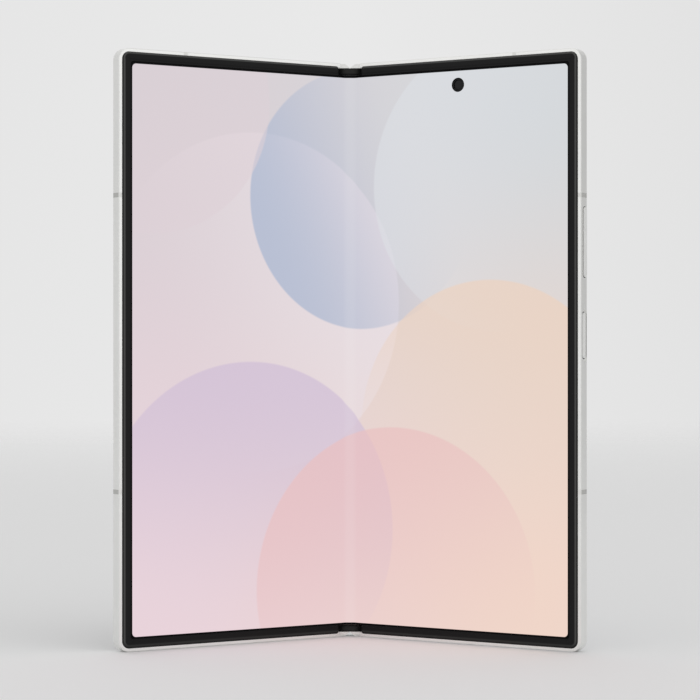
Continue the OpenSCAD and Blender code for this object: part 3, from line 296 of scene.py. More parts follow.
# Spring steel, tempered to a straw brown.
spring_steel, shader = new_finish("tempered_spring_steel", metallic=1.0)
tint(spring_steel, shader, "BE9B66", "9C7B4C", 0.7)
grain(spring_steel, shader, 0.06, 0.002, 0.24, 0.36)
dress(spring_steel, "friction_springs")
# Black nickel on steel: a dark, slightly blue mirror, dulled by the tumbling.
screw_steel, shader = new_finish("black_nickelled_steel", metallic=1.0)
tint(screw_steel, shader, "7B7E83", "66696D", 0.5)
grain(screw_steel, shader, 0.05, 0.002, 0.28, 0.4)
dress(screw_steel, "hinge_screws", "left_bracket_screws", "right_bracket_screws")

# Flexible cables
# Thin strips of amber polyimide film with copper tracks between its layers. One runs through the
# hinge from leaf to leaf, and the other carries the keys' switches.
TRACK_PITCH = 0.5 * MM
TRACK_SHARE = 0.6
# Polyimide film: a glossy amber, with paler stripes where the copper shows through.
film, shader = new_finish("polyimide_film", roughness=0.35, ior=1.7)
place = add(film, "ShaderNodeTexCoord")
split = add(film, "ShaderNodeSeparateXYZ", {"Vector": (place, "Object")})
stripes = add(film, "ShaderNodeMath", {0: (split, "Z"), 1: TRACK_PITCH / 2}, operation="PINGPONG")
tracks = add(film, "ShaderNodeMath", {0: stripes, 1: TRACK_SHARE * TRACK_PITCH / 2},
             operation="LESS_THAN")
amber = add(film, "ShaderNodeMix", {"Factor": tracks, "A": linear("8A5218"), "B": linear("C98A3C")},
            data_type="RGBA")
film.node_tree.links.new(amber.outputs["Result"], shader.inputs["Base Color"])
dress(film, "hinge_flex_cable", "key_switches")

# Batteries and boards
# Each leaf holds a foil-wrapped battery and a circuit board. The batteries are glued to the
# frame's plate, and the boards lie beside them, the main one with tinned lids on its chips.

# Laminated foil: dark grey, softly wrinkled, with a plastic sheen.
battery_foil, shader = new_finish("laminated_battery_foil", specular_ior_level=0.6)
tint(battery_foil, shader, "44464B", "33353A", 14)
grain(battery_foil, shader, 1.2, 0.03, 0.32, 0.46)
dress(battery_foil, "left_battery", "right_battery")
# Solder mask: green lacquer with a thin gloss over the copper's relief.
solder_mask, shader = new_finish("green_solder_mask", coat_weight=0.4, coat_roughness=0.15)
tint(solder_mask, shader, "246450", "18493A", 1.1, (1, 1, 0.3))
grain(solder_mask, shader, 0.4, 0.02, 0.25, 0.4)
dress(solder_mask, "left_board", "main_board")
# Tinned steel: a pale metal with a soft, patchy gloss.
tinned_sheet, shader = new_finish("tinned_steel_sheet", metallic=1.0)
tint(tinned_sheet, shader, "C2C5C8", "A9ACB0", 3)
grain(tinned_sheet, shader, 0.2, 0.006, 0.28, 0.42)
dress(tinned_sheet, "shield_cans", "tray_reader", "vibration_motor")

# Charging coil
# A flat spiral of enamelled copper wire for charging without a plug. It is wound in rings half a
# millimetre apart, and is glued behind the rear glass.
WIRE_PITCH = 0.5 * MM
WIRE_RELIEF = 0.1 * MM
coil_low, coil_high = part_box("charging_coil")
# Enamelled wire: copper under a clear varnish, brown in the gaps between the turns.
coil_wire, shader = new_finish("enamelled_copper_wire", metallic=1.0, roughness=0.3)
place = add(coil_wire, "ShaderNodeTexCoord")
radius = add(coil_wire, "ShaderNodeVectorMath",
             {0: (place, "Object"), 1: (Vector(coil_low) + Vector(coil_high)) / 2},
             operation="DISTANCE")
windings = add(coil_wire, "ShaderNodeMath", {0: (radius, "Value"), 1: WIRE_PITCH / 2},
               operation="PINGPONG")
wire_height = add(coil_wire, "ShaderNodeMapRange",
                  {"Value": windings, "From Min": 0.0, "From Max": WIRE_PITCH / 2})
relief = add(coil_wire, "ShaderNodeBump", {"Height": wire_height, "Distance": WIRE_RELIEF})
wire = add(coil_wire, "ShaderNodeMix",
           {"Factor": wire_height, "A": linear("8E4E20"), "B": linear("D08A4E")},
           data_type="RGBA")
coil_wire.node_tree.links.new(wire.outputs["Result"], shader.inputs["Base Color"])
coil_wire.node_tree.links.new(relief.outputs[0], shader.inputs["Normal"])
dress(coil_wire, "charging_coil")

# Sound parts
# The loudspeaker and the earpiece are sealed boxes of glass-filled plastic behind the rows of
# holes in the frames' ends. They are dropped into pockets and held by the glass over them.

# Glass-filled plastic: nearly black and rough, with the fibres just under its skin.
module_plastic, shader = new_finish("glass_filled_plastic", ior=1.55)
tint(module_plastic, shader, "2C2D30", "212225", 2.5)
grain(module_plastic, shader, 0.2, 0.01, 0.45, 0.62)
dress(module_plastic, "loudspeaker", "earpiece")

# Backing plates
# Sheets of stainless steel, a tenth of a millimetre thick, that back the screen on each leaf. They
# are glued to the frame's plate and end where the screen starts to bend.

# Rolled stainless steel: a cool grey with a satin that follows the rolling.
backing_steel, shader = new_finish("rolled_stainless_steel", metallic=1.0)
tint(backing_steel, shader, "A6A9AC", "94979A", 6)
grain(backing_steel, shader, 0.1, 0.003, 0.3, 0.42, (1, 1, 0.1))
dress(backing_steel, "left_backing_plate", "right_backing_plate")

# Main screen
# One flexible organic-LED panel under a plastic film, glued to both leaves and free to bend over
# the hinge. It is made here as two halves, each bent from the hinge line to its leaf.
SIDES = ((LEFT, "left"), (RIGHT, "right"))
FOLD_COLUMNS = 28
SETTLE_STEPS = 40
FOLD_T = 0.14 * MM
HOLE_DIAMETER = 3.76
CAMERA_SHIFT = -0.55


def flat_box(node, side=RIGHT):
    """Lowest and highest corner of a CAD node in its leaf's own frame of reference."""
    points = np.array([flat_from_world[side] @ v.co for v in frame["nodes"][node].data.vertices])
    return Vector(points.min(0)), Vector(points.max(0))


panel_low, panel_high = flat_box("right_screen_panel")
fold_low, fold_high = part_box("screen_fold_right")
bezel_low, bezel_high = flat_box("right_bezel")
camera_low, camera_high = flat_box("inner_camera")
eye = (camera_low + camera_high) / 2 + Vector((CAMERA_SHIFT * MM, 0, 0))
fold_half = panel_low.x
fold_start = Vector((0, panel_low.y + bezel_front, 0))
fold_end = turned(Vector((fold_half, panel_low.y + bezel_front, 0)), rest_tilt)


def fold_share(point):
    """How far along the bend a point lies: 0 at the hinge line and 1 on the leaf."""
    along = Vector((fold_end.x - fold_start.x, fold_end.y - fold_start.y))
    off = Vector((point.x - fold_start.x, point.y - fold_start.y))
    share = min(max(off.dot(along) / along.length_squared, 0), 1)
    return share * share * (3 - 2 * share)


def bent(point):
    """Where a point of the flat screen lies at rest: turned by its place's share of the angle."""
    flat = Vector((point.x, point.y + bezel_front, point.z))
    share = 0.5
    for _ in range(SETTLE_STEPS):
        share = fold_share(turned(flat, share * rest_tilt))
    return turned(flat, share * rest_tilt)


def select_faces(piece, test):
    """Opens a piece in edit mode with only the faces selected whose middle passes a test."""
    bpy.ops.object.mode_set(mode="EDIT")
    bpy.ops.mesh.select_mode(type="FACE")
    bpy.ops.mesh.select_all(action="DESELECT")
    bpy.ops.object.mode_set(mode="OBJECT")
    for face in piece.data.polygons:
        face.select = test(face.center)
    bpy.ops.object.mode_set(mode="EDIT")


def cut_round_hole(piece, x, z, diameter, front, depth):
    """Drills a piece on the flat leaf from the front."""
    bpy.ops.mesh.primitive_cylinder_add(vertices=96, radius=diameter / 2, depth=depth,
                                        location=(x, front + depth / 2, z),
                                        rotation=(math.pi / 2, 0, 0))
    drill = bpy.context.object
    bpy.context.view_layer.objects.active = piece
    hole = piece.modifiers.new("hole", "BOOLEAN")
    hole.operation = "DIFFERENCE"
    hole.object = drill
    bpy.ops.object.modifier_apply(modifier=hole.name)
    bpy.data.objects.remove(drill)


def screen_half(side, word):
    """Half of the screen: a sheet in columns that are close together where it bends."""
    bpy.ops.object.select_all(action="DESELECT")
    bpy.ops.mesh.primitive_grid_add(x_subdivisions=FOLD_COLUMNS + 2, y_subdivisions=3, size=2)
    half = bpy.context.object
    half.name = half.data.name = word + "_screen"
    columns = [fold_half * i / FOLD_COLUMNS for i in range(FOLD_COLUMNS + 1)]
    columns += [bezel_low.x, panel_high.x]
    rows = [panel_low.z, fold_low.z, fold_high.z, panel_high.z]
    across = sorted({round(v.co.x, 5) for v in half.data.vertices})
    up = sorted({round(v.co.y, 5) for v in half.data.vertices})
    for vertex in half.data.vertices:
        column = across.index(round(vertex.co.x, 5))
        row = up.index(round(vertex.co.y, 5))
        vertex.co = (columns[column], panel_low.y, rows[row])
    select_faces(half, lambda middle: middle.x < bezel_low.x
                 and not fold_low.z < middle.z < fold_high.z)
    bpy.ops.mesh.delete(type="FACE")
    bpy.ops.mesh.select_all(action="SELECT")
    bpy.ops.mesh.normals_make_consistent(inside=False)
    bpy.ops.object.mode_set(mode="OBJECT")
    thickness = half.modifiers.new("thickness", "SOLIDIFY")
    thickness.thickness = panel_high.y - panel_low.y
    bpy.ops.object.modifier_apply(modifier=thickness.name)
    front = min(v.co.y for v in half.data.vertices)
    half.data.transform(Matrix.Translation((0, panel_low.y - front, 0)))
    # Over the hinge the panel is left without its stiff backing, so that it can fold up small.
    last_thin_column = (columns[FOLD_COLUMNS - 1] + fold_half) / 2
    for vertex in half.data.vertices:
        if vertex.co.x < last_thin_column and vertex.co.y > panel_low.y + FOLD_T:
            vertex.co.y = panel_low.y + FOLD_T
    if side == RIGHT:
        cut_round_hole(half, eye.x, eye.z, HOLE_DIAMETER * MM, panel_low.y - MM, 3 * MM)
    place = half.data.attributes.new("screen_place", "FLOAT_VECTOR", "POINT")
    for vertex, spot in zip(half.data.vertices, place.data):
        spot.vector = (side * vertex.co.x / MM, vertex.co.z / MM, 0)
    for vertex in half.data.vertices:
        vertex.co = bent(vertex.co)
    if side == LEFT:
        half.data.transform(Matrix.Diagonal((-1, 1, 1, 1)))
    half.select_set(True)
    bpy.ops.object.mode_set(mode="EDIT")
    bpy.ops.mesh.select_all(action="SELECT")
    bpy.ops.mesh.normals_make_consistent(inside=False)
    bpy.ops.object.mode_set(mode="OBJECT")
    bpy.ops.object.shade_smooth_by_angle(angle=SMOOTH_ANGLE)
    return half


# A lit panel under a hard-coated film: the picture is its own light, and a coating against
# reflections leaves a faint gloss. Places on it are in mm, x from the hinge line and z up.
LIT_HALF_W = 67.6
LIT_LOW, LIT_HIGH = 3.82, 154.45
LIT_CORNER = 1.1
LIT_BLUR = 0.03
PICTURE_HALF_W = 62.0
PICTURE_LOW, PICTURE_HIGH = 12.0, 146.0
VEIL_BLUR = 0.25
GLINT_HALF_W, GLINT_CORE, GLINT_SHARE = 2.6, 0.6, 0.055
lit_panel, shader = new_finish("lit_panel_under_film", base_color=linear("060607"), roughness=0.22,
                               ior=1.5, specular_ior_level=0.06, emission_strength=1.0)
place = add(lit_panel, "ShaderNodeAttribute", attribute_name="screen_place")
split = add(lit_panel, "ShaderNodeSeparateXYZ", {"Vector": (place, "Vector")})
across = add(lit_panel, "ShaderNodeMapRange",
             {"Value": (split, "X"), "From Min": -PICTURE_HALF_W, "From Max": PICTURE_HALF_W},
             interpolation_type="SMOOTHSTEP")
up = add(lit_panel, "ShaderNodeMapRange",
         {"Value": (split, "Y"), "From Min": PICTURE_LOW, "From Max": PICTURE_HIGH},
         interpolation_type="SMOOTHSTEP")
lower = add(lit_panel, "ShaderNodeMix",
            {"Factor": across, "A": linear("E8D3DA"), "B": linear("EFD5C8")}, data_type="RGBA")
upper = add(lit_panel, "ShaderNodeMix",
            {"Factor": across, "A": linear("D8CFD4"), "B": linear("D4D7DA")}, data_type="RGBA")
picture = add(lit_panel, "ShaderNodeMix",
              {"Factor": up, "A": (lower, "Result"), "B": (upper, "Result")}, data_type="RGBA")
# The picture is of soft veils: large discs, each crisp on one side and lost on the other. They
# have their middle and radius in mm, the crisp side's bearing, a colour and a strength.
VEILS = (
    (-30, 92, 46, 25, "E9DFE4", 0.8), (4, 121, 36, 205, "ABB8D0", 0.8),
    (48, 124, 40, 160, "DCDFE4", 0.6), (44, 58, 40, 70, "EBD2C0", 0.75),
    (-32, 30, 46, 80, "D0BFD6", 0.75), (14, 14, 44, 115, "E9C0C0", 0.7),
    (-62, 146, 36, 300, "DDD0D6", 0.6),
)
for x, z, size, bearing, colour, strength in VEILS:
    crisp = (math.cos(math.radians(bearing)), math.sin(math.radians(bearing)), 0)
    offset = add(lit_panel, "ShaderNodeVectorMath", {0: (place, "Vector"), 1: (x, z, 0)},
                 operation="SUBTRACT")
    distance = add(lit_panel, "ShaderNodeVectorMath", {0: offset}, operation="LENGTH")
    inside = add(lit_panel, "ShaderNodeMapRange",
                 {"Value": (distance, "Value"), "From Min": size + VEIL_BLUR,
                  "From Max": size - VEIL_BLUR})
    along = add(lit_panel, "ShaderNodeVectorMath", {0: offset, 1: crisp}, operation="DOT_PRODUCT")
    fade = add(lit_panel, "ShaderNodeMapRange",
               {"Value": (along, "Value"), "From Min": -0.75 * size, "From Max": size,
                "To Max": strength}, interpolation_type="SMOOTHSTEP")
    veil = add(lit_panel, "ShaderNodeMath", {0: inside, 1: fade}, operation="MULTIPLY")
    picture = add(lit_panel, "ShaderNodeMix",
                  {"Factor": veil, "A": (picture, "Result"), "B": linear(colour)},
                  data_type="RGBA")
# Along the fold a painted highlight lightens the picture where the curved film would catch light.
from_fold = add(lit_panel, "ShaderNodeMath", {0: (split, "X")}, operation="ABSOLUTE")
glint = add(lit_panel, "ShaderNodeMapRange",
            {"Value": from_fold, "From Min": GLINT_HALF_W, "From Max": GLINT_CORE,
             "To Max": GLINT_SHARE}, interpolation_type="SMOOTHSTEP")
picture = add(lit_panel, "ShaderNodeMix",
              {"Factor": glint, "A": (picture, "Result"), "B": linear("FFFFFF")},
              data_type="RGBA")
# What is lit is a rectangle with small round corners inside a black border, but for a black
# ring round the camera's hole.
from_middle = add(lit_panel, "ShaderNodeVectorMath",
                  {0: (place, "Vector"), 1: (0, (LIT_LOW + LIT_HIGH) / 2, 0)},
                  operation="SUBTRACT")
mirrored = add(lit_panel, "ShaderNodeVectorMath", {0: from_middle}, operation="ABSOLUTE")
past = add(lit_panel, "ShaderNodeVectorMath",
           {0: mirrored, 1: (LIT_HALF_W - LIT_CORNER, (LIT_HIGH - LIT_LOW) / 2 - LIT_CORNER, 0)},
           operation="SUBTRACT")
past_corner = add(lit_panel, "ShaderNodeVectorMath", {0: past, 1: (0, 0, 0)}, operation="MAXIMUM")
rim = add(lit_panel, "ShaderNodeVectorMath", {0: past_corner}, operation="LENGTH")
lit = add(lit_panel, "ShaderNodeMapRange",
          {"Value": (rim, "Value"), "From Min": LIT_CORNER + LIT_BLUR,
           "From Max": LIT_CORNER - LIT_BLUR})
from_eye = add(lit_panel, "ShaderNodeVectorMath",
               {0: (place, "Vector"), 1: (eye.x / MM, eye.z / MM, 0)}, operation="DISTANCE")
outside = add(lit_panel, "ShaderNodeMath",
              {0: (from_eye, "Value"), 1: HOLE_DIAMETER / 2 + LIT_BLUR},
              operation="GREATER_THAN")
shown = add(lit_panel, "ShaderNodeMath", {0: lit, 1: outside}, operation="MULTIPLY")
light = add(lit_panel, "ShaderNodeMix",
            {"Factor": shown, "A": linear("000000"), "B": (picture, "Result")}, data_type="RGBA")
lit_panel.node_tree.links.new(light.outputs["Result"], shader.inputs["Emission Color"])
for side, word in SIDES:
    half = screen_half(side, word)
    half.data.materials.append(lit_panel)
    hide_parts(word + "_screen_panel", "screen_fold_" + word)
    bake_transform(half)

# Bezels
# A strip of black elastomer round three sides of each leaf, which covers the screen's edge and
# keeps the two halves apart when the phone is shut. It is moulded with a raised lip and glued on.
LIP_W = 0.5 * MM
LIP_H = 0.04 * MM
SHOULDER = 0.2 * MM
OUTLINE_CORNER = 2.1
BEZEL_W = 2.45
RAMP_W = 3.0
TOP_HIGHLIGHT_SHIFT = 0.4
FOOT_HIGHLIGHT_SHARE = 0.35
FRONT_PLANE = 0.01 * MM
# Moulded elastomer: a soft black with next to no shine. The bands are told by their distance in
# mm from the outline, whose corners are rounded.
bezel_rubber, shader = new_finish("moulded_elastomer", ior=1.48, specular_ior_level=0.2)
grain(bezel_rubber, shader, 0.16, 0.006, 0.4, 0.52)
outline_reach = Vector((bezel_high.x / MM - OUTLINE_CORNER,
                        (bezel_high.z - bezel_low.z) / 2 / MM - OUTLINE_CORNER, 0))
place = add(bezel_rubber, "ShaderNodeAttribute", attribute_name="leaf_place")
mirrored = add(bezel_rubber, "ShaderNodeVectorMath", {0: (place, "Vector")}, operation="ABSOLUTE")
past = add(bezel_rubber, "ShaderNodeVectorMath", {0: mirrored, 1: outline_reach},
           operation="SUBTRACT")
past_corner = add(bezel_rubber, "ShaderNodeVectorMath", {0: past, 1: (0, 0, 0)},
                  operation="MAXIMUM")
reach = add(bezel_rubber, "ShaderNodeVectorMath", {0: past_corner}, operation="LENGTH")
# A painted highlight lightens its shoulder, nearer the edge along the top and fainter at the foot.
from_edge = add(bezel_rubber, "ShaderNodeMath", {0: OUTLINE_CORNER, 1: (reach, "Value")},
                operation="SUBTRACT")
outward = add(bezel_rubber, "ShaderNodeVectorMath", {0: past_corner}, operation="NORMALIZE")
facing = add(bezel_rubber, "ShaderNodeSeparateXYZ", {"Vector": (outward, "Vector")})
split = add(bezel_rubber, "ShaderNodeSeparateXYZ", {"Vector": (place, "Vector")})
upper_half = add(bezel_rubber, "ShaderNodeMath", {0: (split, "Y")}, operation="SIGN")
upward = add(bezel_rubber, "ShaderNodeMath", {0: (facing, "Y"), 1: upper_half},
             operation="MULTIPLY")
shift = add(bezel_rubber, "ShaderNodeMapRange",
            {"Value": upward, "From Min": 0.0, "From Max": 1.0, "To Max": TOP_HIGHLIGHT_SHIFT})
shifted = add(bezel_rubber, "ShaderNodeMath", {0: from_edge, 1: shift}, operation="ADD")
along = add(bezel_rubber, "ShaderNodeMath", {0: shifted, 1: RAMP_W}, operation="DIVIDE")
band = add(bezel_rubber, "ShaderNodeValToRGB", {"Fac": along})
band.color_ramp.elements.remove(band.color_ramp.elements[1])
band.color_ramp.elements[0].color = linear("232321")
# The lighter greys near the outline are the painted highlight.
for at, colour in ((0.36, "232321"), (0.52, "4A4A49"), (0.86, "4A4A49"), (1.02, "101010"),
                   (BEZEL_W - 0.32, "0D0D0E"), (BEZEL_W - 0.26, "010101")):
    band.color_ramp.elements.new(at / RAMP_W).color = linear(colour)
strength = add(bezel_rubber, "ShaderNodeMapRange",
               {"Value": upward, "From Min": -1.0, "From Max": 0.0, "To Min": FOOT_HIGHLIGHT_SHARE})
faded = add(bezel_rubber, "ShaderNodeMix",
            {"Factor": strength, "A": linear("0B0B0B"), "B": (band, "Color")}, data_type="RGBA")
bezel_rubber.node_tree.links.new(faded.outputs["Result"], shader.inputs["Base Color"])


def flat_copy(node, name, side):
    """A CAD node's mesh as a new piece, laid on the flat leaf."""
    piece = cad_copy(node, name)
    piece.data.transform(flat_from_world[side])
    if side == LEFT:
        piece.data.flip_normals()
    return piece


def lay_on_leaf(piece, side):
    """Moves a piece modelled on the flat leaf to its place, and turns a mirrored one's faces out."""
    piece.data.transform(flat_from_world[side].inverted())
    if side == LEFT:
        piece.data.flip_normals()


def select_edges(piece, test):
    """Opens a piece in edit mode with only the edges selected whose two ends pass a test."""
    bpy.ops.object.mode_set(mode="EDIT")
    bpy.ops.mesh.select_mode(type="EDGE")
    bpy.ops.mesh.select_all(action="DESELECT")
    bpy.ops.object.mode_set(mode="OBJECT")
    vertices = piece.data.vertices
    for edge in piece.data.edges:
        edge.select = test(*[vertices[i].co for i in edge.vertices])
    bpy.ops.object.mode_set(mode="EDIT")


def on_outline(*points):
    """Whether points of the flat bezel's front lie on its outline or on an end by the hinge."""
    for point in points:
        x = point.x - outline_reach.x * MM
        z = abs(point.z - (bezel_low.z + bezel_high.z) / 2) - outline_reach.y * MM
        reach = math.hypot(x, z) if x > 0 and z > 0 else max(x, z)
        end = bezel_low.x + (1 * MM if z > (OUTLINE_CORNER - 1) * MM else 0.1 * MM)
        on_edge = reach > (OUTLINE_CORNER - 0.1) * MM or point.x < end
        if point.y > FRONT_PLANE or not on_edge:
            return False
    return True


for side, word in SIDES:
    strip = flat_copy(word + "_bezel", word + "_bezel_strip", side)
    select_edges(strip, on_outline)
    bpy.ops.mesh.bevel(offset=SHOULDER, segments=4, affect="EDGES")
    bpy.ops.object.mode_set(mode="OBJECT")
    select_faces(strip, lambda middle: middle.y < 0.001 * MM)
    bpy.ops.mesh.inset(thickness=LIP_W, depth=0)
    bpy.ops.transform.translate(value=(0, LIP_H, 0))
    bpy.ops.object.mode_set(mode="OBJECT")
    place = strip.data.attributes.new("leaf_place", "FLOAT_VECTOR", "POINT")
    middle = (bezel_low.z + bezel_high.z) / 2
    for vertex, spot in zip(strip.data.vertices, place.data):
        spot.vector = (vertex.co.x / MM, (vertex.co.z - middle) / MM, 0)
    lay_on_leaf(strip, side)
    smooth_round_parts(strip)
    seat(strip, word + "_leaf", "bezel_plastic", bezel_rubber, word + "_bezel")

# Camera modules
# Black anodised housings with stepped barrels that trap stray light. The three outer ones look out
# of the island, one looks through the screen and one through the outer screen's glass.

# Black anodised and blasted: matt, so that the steps swallow what strays into them.
camera_black, shader = new_finish("black_anodised_barrel", ior=1.5, specular_ior_level=0.4)
tint(camera_black, shader, "17181A", "0C0D0E", 1.5)
grain(camera_black, shader, 0.1, 0.006, 0.5, 0.66)
# Polished glass with a coating against reflections, a quarter of a wave thick: what it does
# reflect is tinted, and the dark barrel shows through it.
front_lens, shader = new_finish("coated_glass_lens", roughness=0.04, ior=1.6,
                                thin_film_thickness=105.0, thin_film_ior=1.38)
tint(front_lens, shader, "16171C", "101116", 1)
# Black foam that seals the gap round the inner camera: it gives back next to no light.
light_seal, shader = new_finish("black_sealing_foam", roughness=0.9, specular_ior_level=0.02)
tint(light_seal, shader, "050505", "020202", 0.4)
# The small cameras lie behind a smoked film, and show a flat dark grey.
smoked_lens, shader = new_finish("smoked_glass_lens", roughness=0.12, ior=1.5,
                                 specular_ior_level=0.2)
tint(smoked_lens, shader, "151518", "111114", 1)


def lathe(name, profile, x, z, steps=72):
    """Turns a closed profile, in mm of radius and depth, about an axis through a flat leaf."""
    bpy.ops.object.select_all(action="DESELECT")
    bpy.ops.mesh.primitive_circle_add(vertices=len(profile), radius=1)
    piece = bpy.context.object
    piece.name = piece.data.name = name
    for vertex, (radius, depth) in zip(piece.data.vertices, profile):
        vertex.co = (radius * MM, depth * MM, 0)
    bpy.ops.object.mode_set(mode="EDIT")
    bpy.ops.mesh.select_all(action="SELECT")
    bpy.ops.mesh.spin(steps=steps, angle=2 * math.pi, center=(0, 0, 0), axis=(0, 1, 0))
    bpy.ops.mesh.select_all(action="SELECT")
    bpy.ops.mesh.remove_doubles(threshold=MERGE)
    bpy.ops.mesh.normals_make_consistent(inside=False)
    bpy.ops.object.mode_set(mode="OBJECT")
    bpy.ops.object.shade_smooth_by_angle(angle=math.radians(30))
    piece.data.transform(Matrix.Translation((x, 0, z)))
    return piece


def joined(name, pieces):
    """Several meshes as one piece."""
    bpy.ops.object.select_all(action="DESELECT")
    for piece in pieces:
        piece.select_set(True)
    bpy.context.view_layer.objects.active = pieces[0]
    if len(pieces) > 1:
        bpy.ops.object.join()
    pieces[0].name = pieces[0].data.name = name
    return pieces[0]


def bore_out(piece, cutters):
    """Cuts turned shapes out of a piece on the flat leaf."""
    for cutter in cutters:
        bpy.context.view_layer.objects.active = piece
        bore = piece.modifiers.new("bore", "BOOLEAN")
        bore.operation = "DIFFERENCE"
        bore.object = cutter
        bpy.ops.object.modifier_apply(modifier=bore.name)
        bpy.data.objects.remove(cutter)


def camera_set(node, name, side, body, places, barrel, lens, glass, shift=0):
    """Bores the barrels of a CAD node's cameras in steps, and sets a front lens in each."""
    modules = flat_copy(node, name + "_modules", side)
    modules.data.transform(Matrix.Translation((shift * MM, 0, 0)))
    cutters = [lathe("cutter", barrel, x, z) for x, z in places]
    bore_out(modules, cutters)
    bpy.ops.object.select_all(action="DESELECT")
    modules.select_set(True)
    bpy.ops.object.shade_smooth_by_angle(angle=math.radians(30))
    lay_on_leaf(modules, side)
    seat(modules, body, "camera_black", camera_black, node)
    lenses = joined(name + "_front_lenses", [lathe("lens", lens, x, z) for x, z in places])
    lay_on_leaf(lenses, side)
    seat(lenses, body, "lens_glass", glass)


ring_low, ring_high = flat_box("lens_rings")
ring_radius = (ring_high.x - ring_low.x) / 2
island_x = (ring_low.x + ring_high.x) / 2
island_places = [(island_x, ring_low.z + ring_radius), (island_x, (ring_low.z + ring_high.z) / 2),
                 (island_x, ring_high.z - ring_radius)]
# The profiles give radius and depth in mm, the depth from the bezel's front.
OUTER_BARREL = ((0, 5.6), (4.55, 5.6), (4.55, 5.1), (4.2, 4.8), (4.0, 4.8), (3.6, 4.45),
                (3.4, 4.45), (3.0, 4.1), (0, 4.1))
OUTER_LENS = ((0, 4.0), (2.95, 4.0), (2.95, 4.15), (2.75, 4.3), (2.3, 4.43), (1.6, 4.55),
              (0.8, 4.62), (0, 4.64))
camera_set("camera_modules", "outer_camera", RIGHT, "right_leaf", island_places, OUTER_BARREL,
           OUTER_LENS, front_lens)
INNER_BARREL = ((0, 0.3), (1.45, 0.3), (1.43, 0.62), (1.4, 0.95), (0, 0.95))
INNER_LENS = ((0, 1.0), (1.42, 1.0), (1.42, 0.7), (1.3, 0.62), (0.9, 0.56), (0.4, 0.53),
              (0, 0.52))
camera_set("inner_camera", "inner_camera", RIGHT, "right_leaf", [(eye.x, eye.z)], INNER_BARREL,
           INNER_LENS, smoked_lens, CAMERA_SHIFT)
FOAM_INNER, FOAM_OUTER = 1.44, HOLE_DIAMETER / 2 - 0.01
FOAM_FRONT, FOAM_BACK = 0.48, 0.7
foam = lathe("camera_light_seal", ((FOAM_INNER, FOAM_FRONT), (FOAM_OUTER, FOAM_FRONT),
                                   (FOAM_OUTER, FOAM_BACK), (FOAM_INNER, FOAM_BACK)), eye.x, eye.z)
lay_on_leaf(foam, RIGHT)
seat(foam, "right_leaf", "camera_black", light_seal)
COVER_BARREL = ((0, 3.8), (1.25, 3.8), (1.2, 3.4), (1.1, 3.15), (0, 3.15))
COVER_LENS = ((0, 3.1), (1.12, 3.1), (1.12, 3.25), (0.9, 3.36), (0.5, 3.44), (0, 3.46))
cover_low, cover_high = flat_box("cover_camera", LEFT)
cover_eye = (cover_low + cover_high) / 2
camera_set("cover_camera", "cover_camera", LEFT, "left_leaf", [(cover_eye.x, cover_eye.z)],
           COVER_BARREL, COVER_LENS, smoked_lens)

# Outer glasses
# The left leaf's back is a clear glass over the outer screen, which is black while it is off. The
# right leaf's back is a glass etched matt over a pearl white coat. Both have rounded edges.

# The panel's stack of films, switched off: a deep, even black that gives back no highlight.
dark_panel, shader = new_finish("dark_display_stack", ior=1.5, specular_ior_level=0.0)
tint(dark_panel, shader, "0B0C10", "08090B", 12)
grain(dark_panel, shader, 0.3, 0.001, 0.28, 0.34)
dress(dark_panel, "cover_screen_panel")
# Clear toughened glass: nothing of its own shows but a sharp reflection.
clear_glass, shader = new_finish("toughened_clear_glass", base_color=linear("FAFCFC"),
                                 roughness=0.0, ior=1.52, transmission_weight=1.0)
# Glass etched with acid over a pearl coat: a satin sheen on a soft, cool white.
etched_glass, shader = new_finish("etched_glass_over_pearl", ior=1.5, coat_weight=0.15,
                                  coat_roughness=0.3)
tint(etched_glass, shader, "E3E5E7", "E0E2E5", 40)
grain(etched_glass, shader, 0.15, 0.002, 0.34, 0.42)
BOND = 0.02 * MM
GLASS_EDGE_MM = 0.1
for node, side, word, glass in (("cover_glass", LEFT, "left", clear_glass),
                                ("rear_glass", RIGHT, "right", etched_glass)):
    plate = flat_copy(node, node + "_plate", side)
    if glass == clear_glass:
        # An optical bond has no gap, so the plate's inner face is sunk a hair into the panel.
        inner = min(v.co.y for v in plate.data.vertices)
        for vertex in plate.data.vertices:
            if vertex.co.y < inner + BOND:
                vertex.co.y -= BOND
    lay_on_leaf(plate, side)
    round_sharp_edges(plate, GLASS_EDGE_MM)
    seat(plate, word + "_leaf", node, glass, node)

# Camera island
# A long aluminium pad with round ends, milled and blasted like the frames and let into the rear
# glass. Each of its three cameras has a turned black ring round a disc of sapphire, glued in.
dress(frame_metal, "camera_island")
# Turned and anodised black: a dark satin that catches a thin line of light at each step.
ring_metal, shader = new_finish("turned_black_anodised_ring", metallic=1.0)
tint(ring_metal, shader, "55575B", "424448", 1.5)
grain(ring_metal, shader, 0.08, 0.002, 0.2, 0.3)
ring_foot, ring_top = ring_low.y / MM, ring_high.y / MM
window_low, window_high = flat_box("lens_windows")
window_radius = (window_high.x - window_low.x) / 2 / MM
outer, inner = ring_radius / MM, window_radius + 0.03
ring_profile = ((inner, ring_foot), (outer, ring_foot), (outer, ring_top - 0.3),
                (outer - 0.04, ring_top - 0.14), (outer - 0.14, ring_top - 0.04),
                (outer - 0.3, ring_top), (inner + 0.5, ring_top), (inner + 0.42, ring_top - 0.05),
                (inner + 0.1, ring_top - 0.22), (inner, ring_top - 0.25))
rings = joined("lens_trims", [lathe("ring", ring_profile, x, z) for x, z in island_places])
lay_on_leaf(rings, RIGHT)
seat(rings, "right_leaf", "ring_metal", ring_metal, "lens_rings")
